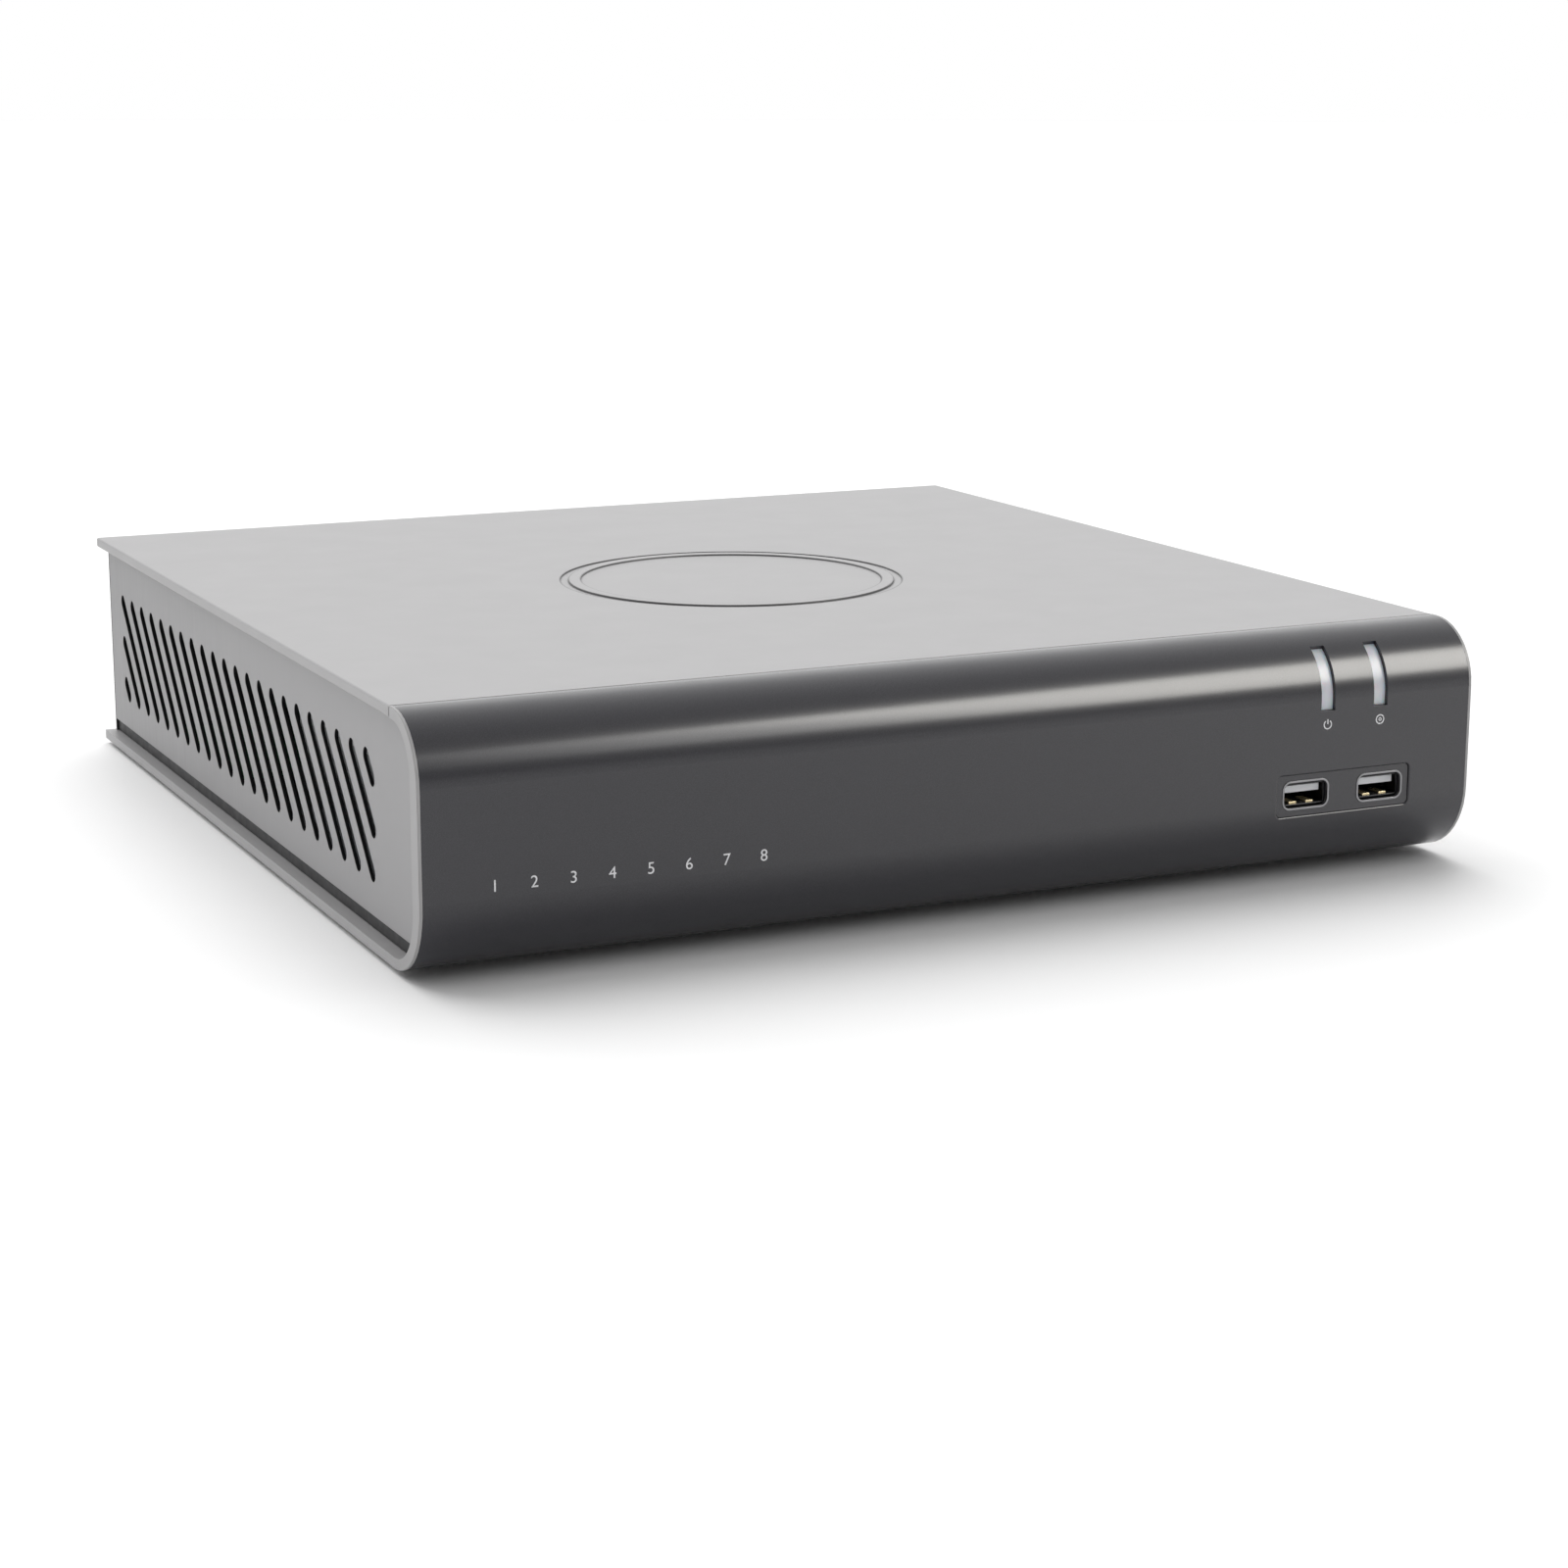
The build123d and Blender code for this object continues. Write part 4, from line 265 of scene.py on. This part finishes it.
# Radii of the walls of the ring pressed into the cover, and the dark lines of painted shade at them
RING_WALLS = (50.0 * MM, 47.6 * MM, 44.0 * MM)
LINE_HALF = 0.15 * MM
LINE_FADE = 0.4 * MM
RING_WALL_PAINTED_SHADE = 0.45
# How much painted shade darkens the side towards the rear, and where the painted shade of its dark
# cut edges begins
REAR_PAINTED_SHADE = 0.80
CUT_EDGE = (0.10 * MM, 0.03 * MM)
# near-black painted shade for the cut edges and inside of the side, where the slots fall into shade
CUT_EDGE_SHADE_COLOR = (0.012, 0.012, 0.013)
PEARL = (0.0235, 0.0225, 0.0290)


def light_shell():
    return painted("light_shell", SHELL_COLOR, 0.42, mottle=SHELL_MOTTLE)


def light_cover():
    """The satin paint of the shell, with darker lines of painted shade at the walls of the pressed
    ring.
    """
    f = painted("light_cover", SHELL_COLOR, 0.42, grain=0.1, mottle=SHELL_MOTTLE)
    low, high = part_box("wrap_frame")
    radius = f.distance_from((low.x + high.x) / 2, (low.y + high.y) / 2)
    # painted shade: dark lines along the ring's walls, where those walls fall into shade
    lines = None
    for wall in RING_WALLS:
        near = f.ramp(f.gap_to(radius, wall), LINE_HALF, LINE_FADE)
        lines = near if lines is None else f.least(lines, near)
    painted_wall_shade = tuple(RING_WALL_PAINTED_SHADE * c for c in f.color)
    return f.paint(f.blend_colors(lines, painted_wall_shade, f.tint(f.noise(26, 4), SHELL_MOTTLE)))


def side_metal():
    """Satin paint with upright brush lines, darkened by painted shade towards the rear; the cut edges
    and the inside are dark with painted shade."""
    f = Finish("side_metal", (0.33, 0.326, 0.332), 0.42, metallic=0.1)
    f.set(Specular_IOR_Level=0.25)
    f.round_edges(0.15 * MM)
    lines = f.noise(30, 4, 0.65, (1, 45, 1.2))
    clouds = f.noise(9, 2, 0.5, (1, 1.5, 1))
    brushed_color = f.blend_colors(f.ramp(clouds, 0.3, 0.7), f.tint(lines, 0.17), f.tint(lines, 0.07))
    low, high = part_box("side_panel_left")
    # painted shade: the side's colour is darkened towards the rear, where less light falls
    painted_rear_shade = tuple(REAR_PAINTED_SHADE * c for c in f.color)
    painted_shade_toward_rear = f.ramp(f.coordinate("Y"), low.y, high.y, 0.0, 0.8)
    brushed_color = f.blend_colors(painted_shade_toward_rear, brushed_color, painted_rear_shade)
    # painted shade: cut edges and inside are near black so the slots read as shaded
    outer = abs(low.x)
    skin = f.ramp(f.size_of("X"), outer - CUT_EDGE[0], outer - CUT_EDGE[1])
    f.paint(f.blend_colors(skin, CUT_EDGE_SHADE_COLOR, brushed_color))
    f.rough(lines, 0.34, 0.46)
    f.bump(lines, 0.1, 0.04 * MM)
    return f


def dark_fascia():
    """Dark pearl coating: tiny metal flakes in the paint, under a clear coat."""
    f = Finish("dark_fascia", PEARL, 0.38)
    f.round_edges(0.2 * MM)
    flakes = f.ramp(f.cells(5200)["Distance"], 0.0, 0.55)
    flaked = f.blend_colors(flakes, (0.038, 0.037, 0.046), (0.018, 0.0175, 0.023))
    drift = f.ramp(f.noise(18, 3), 0.3, 0.7, 0.0, 0.35)
    f.paint(f.blend_colors(drift, flaked, PEARL))
    f.rough(f.noise(70, 3), 0.34, 0.42)
    f.bump(f.noise(1300, 2), 0.04, 0.04 * MM)
    f.set(Specular_IOR_Level=0.1, Coat_Weight=1.0, Coat_Roughness=0.23, Coat_IOR=1.5)
    return f


# painted shade: this near-black strip stands in for the shade in the groove at the foot of each side
def dark_strip():
    return moulded("dark_strip", (0.018, 0.018, 0.020), 0.55)


def rear_metal():
    return painted("rear_metal", (0.022, 0.022, 0.024), 0.48, grain=0.5)


def foot_rubber():
    return moulded("foot_rubber", (0.012, 0.012, 0.012), 0.78, grain=0.4, scale=900)


def window_plastic():
    f = Finish("window_plastic", (0.60, 0.60, 0.64), 0.32)
    f.round_edges(0.2 * MM)
    cloud = f.noise(220, 3)
    f.paint(f.tint(cloud, 0.04))
    f.bump(f.noise(1400, 2), 0.06, 0.04 * MM)
    f.set(Subsurface_Weight=0.6, Subsurface_Scale=0.004, Coat_Weight=0.15, Coat_Roughness=0.2)
    # painted light: a faint glow brightens the windows though no lamp behind them is lit
    f.set(Emission_Color=(0.92, 0.92, 1.0, 1), Emission_Strength=0.07)
    return f


def board_green():
    """Solder mask with darker copper tracks and small gold pads."""
    f = Finish("board_green", (0.012, 0.10, 0.035), 0.32)
    tracks = f.ramp(f.cells(420, (1, 3, 1), "DISTANCE_TO_EDGE")["Distance"], 0.02, 0.06)
    mask = f.blend_colors(tracks, (0.03, 0.22, 0.08), (0.010, 0.085, 0.030))
    pads = f.ramp(f.cells(700)["Distance"], 0.10, 0.14)
    f.paint(f.blend_colors(pads, (0.70, 0.50, 0.20), mask))
    f.bump(tracks, 0.3, 0.03 * MM)
    f.set(Coat_Weight=0.4, Coat_Roughness=0.2)
    return f


def disk_cast():
    f = plated("disk_cast", (0.42, 0.43, 0.44), 0.45)
    f.bump(f.noise(700, 4), 0.4, 0.08 * MM)
    return f


def lamp_clear():
    f = Finish("lamp_clear", (0.85, 0.88, 0.95), 0.08)
    f.paint(f.tint(f.noise(300, 2), 0.03))
    f.set(Transmission_Weight=0.8, IOR=1.5)
    return f


def make_finishes():
    """Every material slot of the record, by name."""
    return {
        "light_shell": light_shell(),
        "light_cover": light_cover(),
        "side_metal": side_metal(),
        "dark_fascia": dark_fascia(),
        "dark_strip": dark_strip(),
        "tray_steel": brushed("tray_steel", (0.52, 0.53, 0.55), 0.42),
        "rear_metal": rear_metal(),
        "foot_rubber": foot_rubber(),
        "screw_steel": plated("screw_steel", (0.52, 0.52, 0.53), 0.28),
        "window_plastic": window_plastic(),
        "socket_steel": brushed("socket_steel", (0.62, 0.62, 0.63), 0.30),
        "ring_steel": brushed("ring_steel", (0.22, 0.22, 0.23), 0.40),
        # near-black plating, partly painted shade: it stands in for the shade inside the front
        # sockets
        "shell_black": plated("shell_black", (0.05, 0.05, 0.052), 0.35),
        "tongue_white": moulded("tongue_white", (0.72, 0.73, 0.75), 0.35, grain=0.08),
        "contact_gold": plated("contact_gold", (0.78, 0.66, 0.42), 0.26),
        "jack_black": moulded("jack_black", (0.020, 0.020, 0.021), 0.45),
        "jack_nickel": plated("jack_nickel", (0.66, 0.65, 0.62), 0.20),
        "insulator_white": moulded("insulator_white", (0.76, 0.74, 0.68), 0.35, grain=0.08),
        "audio_red": moulded("audio_red", (0.45, 0.02, 0.02), 0.35, grain=0.1),
        "display_blue": moulded("display_blue", (0.02, 0.06, 0.32), 0.4, grain=0.1),
        "terminal_green": moulded("terminal_green", (0.02, 0.25, 0.09), 0.36, grain=0.1),
        "board_green": board_green(),
        "chip_black": moulded("chip_black", (0.02, 0.02, 0.022), 0.5, scale=2600),
        "sink_aluminium": brushed("sink_aluminium", (0.66, 0.66, 0.67), 0.38, (40, 1, 40)),
        "can_aluminium": brushed("can_aluminium", (0.62, 0.63, 0.66), 0.32, (40, 40, 1)),
        "cell_steel": plated("cell_steel", (0.66, 0.66, 0.66), 0.26),
        "fan_black": moulded("fan_black", (0.022, 0.022, 0.023), 0.38, grain=0.08),
        "disk_cast": disk_cast(),
        "disk_steel": brushed("disk_steel", (0.62, 0.63, 0.64), 0.34),
        "platter_mirror": plated("platter_mirror", (0.76, 0.76, 0.77), 0.06),
        "lead_black": moulded("lead_black", (0.018, 0.018, 0.018), 0.55),
        "plug_white": moulded("plug_white", (0.68, 0.66, 0.60), 0.45, grain=0.1),
        "lamp_clear": lamp_clear(),
    }


def dress_nodes(finishes):
    """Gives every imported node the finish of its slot."""
    for entry in frame["record"]["subparts"]:
        node = frame["nodes"][entry["node"]]
        material = finishes[entry["material_slot"]].material
        if not node.data.materials:
            node.data.materials.append(material)
        for k in range(len(node.data.materials)):
            node.data.materials[k] = material


# ---- printed marks: plain numbers and two plain symbols ----
MARK_SINK = 0.03 * MM
MARK_PROUD = 0.02 * MM
MARK_THICK = MARK_SINK + MARK_PROUD
NUMERAL_SCALE = 1.4
LINE = 0.32 * MM
# Symbols below the two windows
WINDOW_HALF = 2.2 * MM
SYMBOL_INSET = 1.8 * MM
SYMBOL_DROP = 1.9 * MM
POWER_RADIUS = 1.15 * MM
POWER_STROKE = (0.15 * MM, 1.45 * MM)
DISK_RADIUS = 1.2 * MM
DISK_CENTRE = 0.38 * MM
DISK_CENTRE_LINE = 0.26 * MM
# Channel numbers at the left of the front
CHANNELS = 8
CHANNEL_HEIGHT = 3.0 * MM
CHANNEL_INSET = 18 * MM
CHANNEL_PITCH = 10 * MM
CHANNEL_Z = 24.5 * MM
# Numbers above the video jacks, which stand in two rows of four
JACK_COLUMNS = 4
JACK_PITCH = 16 * MM
JACK_ROOT = 6.2 * MM
JACK_NUMBER_HEIGHT = 2.6 * MM
JACK_NUMBER_RISE = 8.1 * MM


def printed_ink():
    f = Finish("printed_ink", (0.78, 0.78, 0.80), 0.5)
    f.paint(f.tint(f.noise(900, 4, 0.7), 0.06))
    f.bump(f.noise(2600, 2), 0.15, 0.02 * MM)
    return f.material


def add_piece(name, mesh, material):
    piece = bpy.data.objects.new(name, mesh)
    bpy.context.scene.collection.objects.link(piece)
    piece.data.materials.clear()
    piece.data.materials.append(material)
    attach(piece, "root")


def number_mesh(text, height):
    """Plain numerals as a thin slab in the XZ plane, facing -Y and centred on the origin."""
    curve = bpy.data.curves.new("numeral", "FONT")
    curve.body = text
    curve.size = height * NUMERAL_SCALE
    curve.align_x = "CENTER"
    curve.align_y = "CENTER"
    curve.extrude = MARK_THICK / 2
    holder = bpy.data.objects.new("numeral", curve)
    bpy.context.scene.collection.objects.link(holder)
    depsgraph = bpy.context.evaluated_depsgraph_get()
    mesh = bpy.data.meshes.new_from_object(holder.evaluated_get(depsgraph))
    bpy.data.objects.remove(holder)
    mesh.transform(Matrix.Rotation(math.radians(90), 4, "X"))
    return mesh


def band_mesh(name, path, width, closed=False):
    """A thin slab that follows a path of (x, z) points, facing -Y."""
    bm = bmesh.new()
    depth = MARK_THICK / 2
    rows = []
    count = len(path)
    for i, (x, z) in enumerate(path):
        before = path[(i - 1) % count] if closed or i > 0 else path[i]
        after = path[(i + 1) % count] if closed or i < count - 1 else path[i]
        along = Vector((after[0] - before[0], after[1] - before[1])).normalized()
        across = Vector((-along.y, along.x)) * width / 2
        corners = ((across, -depth), (across, depth), (-across, depth), (-across, -depth))
        rows.append([bm.verts.new((x + a.x, y, z + a.y)) for a, y in corners])
    spans = range(count) if closed else range(count - 1)
    for i in spans:
        a, b = rows[i], rows[(i + 1) % count]
        for k in range(4):
            bm.faces.new((a[k], a[(k + 1) % 4], b[(k + 1) % 4], b[k]))
    if not closed:
        bm.faces.new(rows[0])
        bm.faces.new(list(reversed(rows[-1])))
    bmesh.ops.recalc_face_normals(bm, faces=bm.faces)
    mesh = bpy.data.meshes.new(name)
    bm.to_mesh(mesh)
    bm.free()
    return mesh


def arc_points(radius, start, end, count):
    points = []
    for i in range(count + 1):
        angle = math.radians(start + (end - start) * i / count)
        points.append((radius * math.cos(angle), radius * math.sin(angle)))
    return points


def moved(mesh, x, y, z):
    mesh.transform(Matrix.Translation((x, y, z)))
    return mesh


def joined(name, meshes):
    bm = bmesh.new()
    for mesh in meshes:
        bm.from_mesh(mesh)
    result = bpy.data.meshes.new(name)
    bm.to_mesh(result)
    bm.free()
    return result


def add_symbols(face, ink):
    """A power sign and a disk, below the two windows."""
    low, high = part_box("light_windows")
    z = low.z - SYMBOL_DROP
    power_x = low.x + WINDOW_HALF + SYMBOL_INSET
    disk_x = high.x - WINDOW_HALF - SYMBOL_INSET
    power = [
        band_mesh("power", arc_points(POWER_RADIUS, 125, 415, 28), LINE),
        band_mesh("power", [(0, rise) for rise in POWER_STROKE], LINE),
    ]
    add_piece("mark_power", moved(joined("mark_power", power), power_x, face, z), ink)
    disk = [
        band_mesh("disk", arc_points(DISK_RADIUS, 0, 345, 23), LINE, closed=True),
        band_mesh("disk", arc_points(DISK_CENTRE, 0, 330, 11), DISK_CENTRE_LINE, closed=True),
    ]
    add_piece("mark_disk", moved(joined("mark_disk", disk), disk_x, face, z), ink)


def add_front_marks(ink):
    """The symbols, and a row of plain channel numbers at the left."""
    left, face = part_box("front_fascia")[0].x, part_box("front_fascia")[0].y
    face += (MARK_SINK - MARK_PROUD) / 2
    add_symbols(face, ink)
    numbers = []
    for k in range(CHANNELS):
        mesh = number_mesh(str(k + 1), CHANNEL_HEIGHT)
        numbers.append(moved(mesh, left + CHANNEL_INSET + k * CHANNEL_PITCH, face, CHANNEL_Z))
    add_piece("mark_channels", joined("mark_channels", numbers), ink)


def add_rear_marks(ink):
    """Plain numbers above the video jacks."""
    low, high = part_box("bnc_shells")
    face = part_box("rear_panel")[1].y - (MARK_SINK - MARK_PROUD) / 2
    top = high.z - JACK_ROOT + JACK_NUMBER_RISE
    numbers = []
    for k in range(CHANNELS):
        row, column = divmod(k, JACK_COLUMNS)
        x = low.x + JACK_ROOT + JACK_PITCH * (JACK_COLUMNS - 1 - column)
        mesh = number_mesh(str(k + 1), JACK_NUMBER_HEIGHT)
        mesh.transform(Matrix.Rotation(math.pi, 4, "Z"))
        numbers.append(moved(mesh, x, face, top - JACK_PITCH * row))
    add_piece("mark_jacks", joined("mark_jacks", numbers), ink)


# ---- floor, light and backdrop ----
FLOOR_RADIUS = 9.0
FLOOR_COLOR = (0.965, 0.965, 0.965)
LIGHT_AIM = Vector((0, 0, 0.04))
# Direction in which the surroundings are brightest, and how bright they are
WORLD_BRIGHT_SIDE = (0.46, 0.86, 0.22)
WORLD_DIM = 0.15
WORLD_BRIGHT = 1.15
WORLD_BACKDROP = 1.0


def add_floor():
    bm = bmesh.new()
    bmesh.ops.create_circle(bm, cap_ends=True, radius=FLOOR_RADIUS, segments=96)
    mesh = bpy.data.meshes.new("floor")
    bm.to_mesh(mesh)
    bm.free()
    floor = bpy.data.objects.new("floor", mesh)
    bpy.context.scene.collection.objects.link(floor)
    f = Finish("floor_paper", FLOOR_COLOR, 0.6)
    f.paint(f.tint(f.noise(3, 2), 0.004))
    f.set(Specular_IOR_Level=0.25)
    floor.data.materials.append(f.material)


def direction(azimuth, elevation):
    """A unit vector out from the object: azimuth 0 is the front, 90 the right-hand side."""
    turn, rise = math.radians(azimuth), math.radians(elevation)
    return Vector((math.sin(turn) * math.cos(rise), -math.cos(turn) * math.cos(rise), math.sin(rise)))


def add_light(name, data, out, distance):
    light = bpy.data.objects.new(name, data)
    bpy.context.scene.collection.objects.link(light)
    light.location = LIGHT_AIM + out * distance
    light.rotation_euler = out.to_track_quat("Z", "Y").to_euler()
    light.visible_camera = False
    return light


def add_softbox(name, out, distance, width, height, radiance, color=(1, 1, 1)):
    """A softbox that shows in glossy surfaces."""
    data = bpy.data.lights.new(name, "AREA")
    data.shape = "RECTANGLE"
    data.size = width
    data.size_y = height
    data.energy = radiance * math.pi * width * height
    data.color = color
    add_light(name, data, out, distance).visible_diffuse = False


def add_sun(name, out, strength, spread):
    """A wide overhead light, equally strong all over the floor."""
    data = bpy.data.lights.new(name, "SUN")
    data.energy = strength
    data.angle = math.radians(spread)
    add_light(name, data, out, 2.0).visible_glossy = False


def add_world():
    """Soft surroundings, brightest behind and to the right, dimmest in front and to the left."""
    world = bpy.data.worlds.new("studio")
    world.use_nodes = True
    tree = world.node_tree
    back = tree.nodes["Background"]
    toward = tree.nodes.new("ShaderNodeVectorMath")
    toward.operation = "DOT_PRODUCT"
    tree.links.new(tree.nodes.new("ShaderNodeTexCoord").outputs["Generated"], toward.inputs[0])
    toward.inputs[1].default_value = WORLD_BRIGHT_SIDE
    level = tree.nodes.new("ShaderNodeMapRange")
    level.inputs["From Min"].default_value = -1.0
    level.inputs["From Max"].default_value = 1.0
    level.inputs["To Min"].default_value = WORLD_DIM
    level.inputs["To Max"].default_value = WORLD_BRIGHT
    tree.links.new(toward.outputs["Value"], level.inputs["Value"])
    # the camera itself sees a plain white backdrop
    seen = tree.nodes.new("ShaderNodeMix")
    seen.data_type = "FLOAT"
    tree.links.new(tree.nodes.new("ShaderNodeLightPath").outputs["Is Camera Ray"], seen.inputs[0])
    tree.links.new(level.outputs["Result"], seen.inputs[2])
    seen.inputs[3].default_value = WORLD_BACKDROP
    tree.links.new(seen.outputs[0], back.inputs["Strength"])
    back.inputs["Color"].default_value = (1, 1, 1, 1)
    bpy.context.scene.world = world


def add_lights():
    add_sun("overhead", direction(184, 54), 2.0, 68)
    add_softbox("softbox_key", direction(44, 28), 1.4, 0.80, 0.62, 10.5, (1.0, 0.98, 0.93))
    add_softbox("softbox_fill", direction(22, 28), 1.5, 0.30, 0.56, 3.0)


def main():
    scene = bpy.context.scene
    scene.view_settings.view_transform = "Standard"
    add_camera()
    finishes = make_finishes()
    dress_nodes(finishes)
    ink = printed_ink()
    add_front_marks(ink)
    add_rear_marks(ink)
    add_floor()
    add_world()
    add_lights()


main()
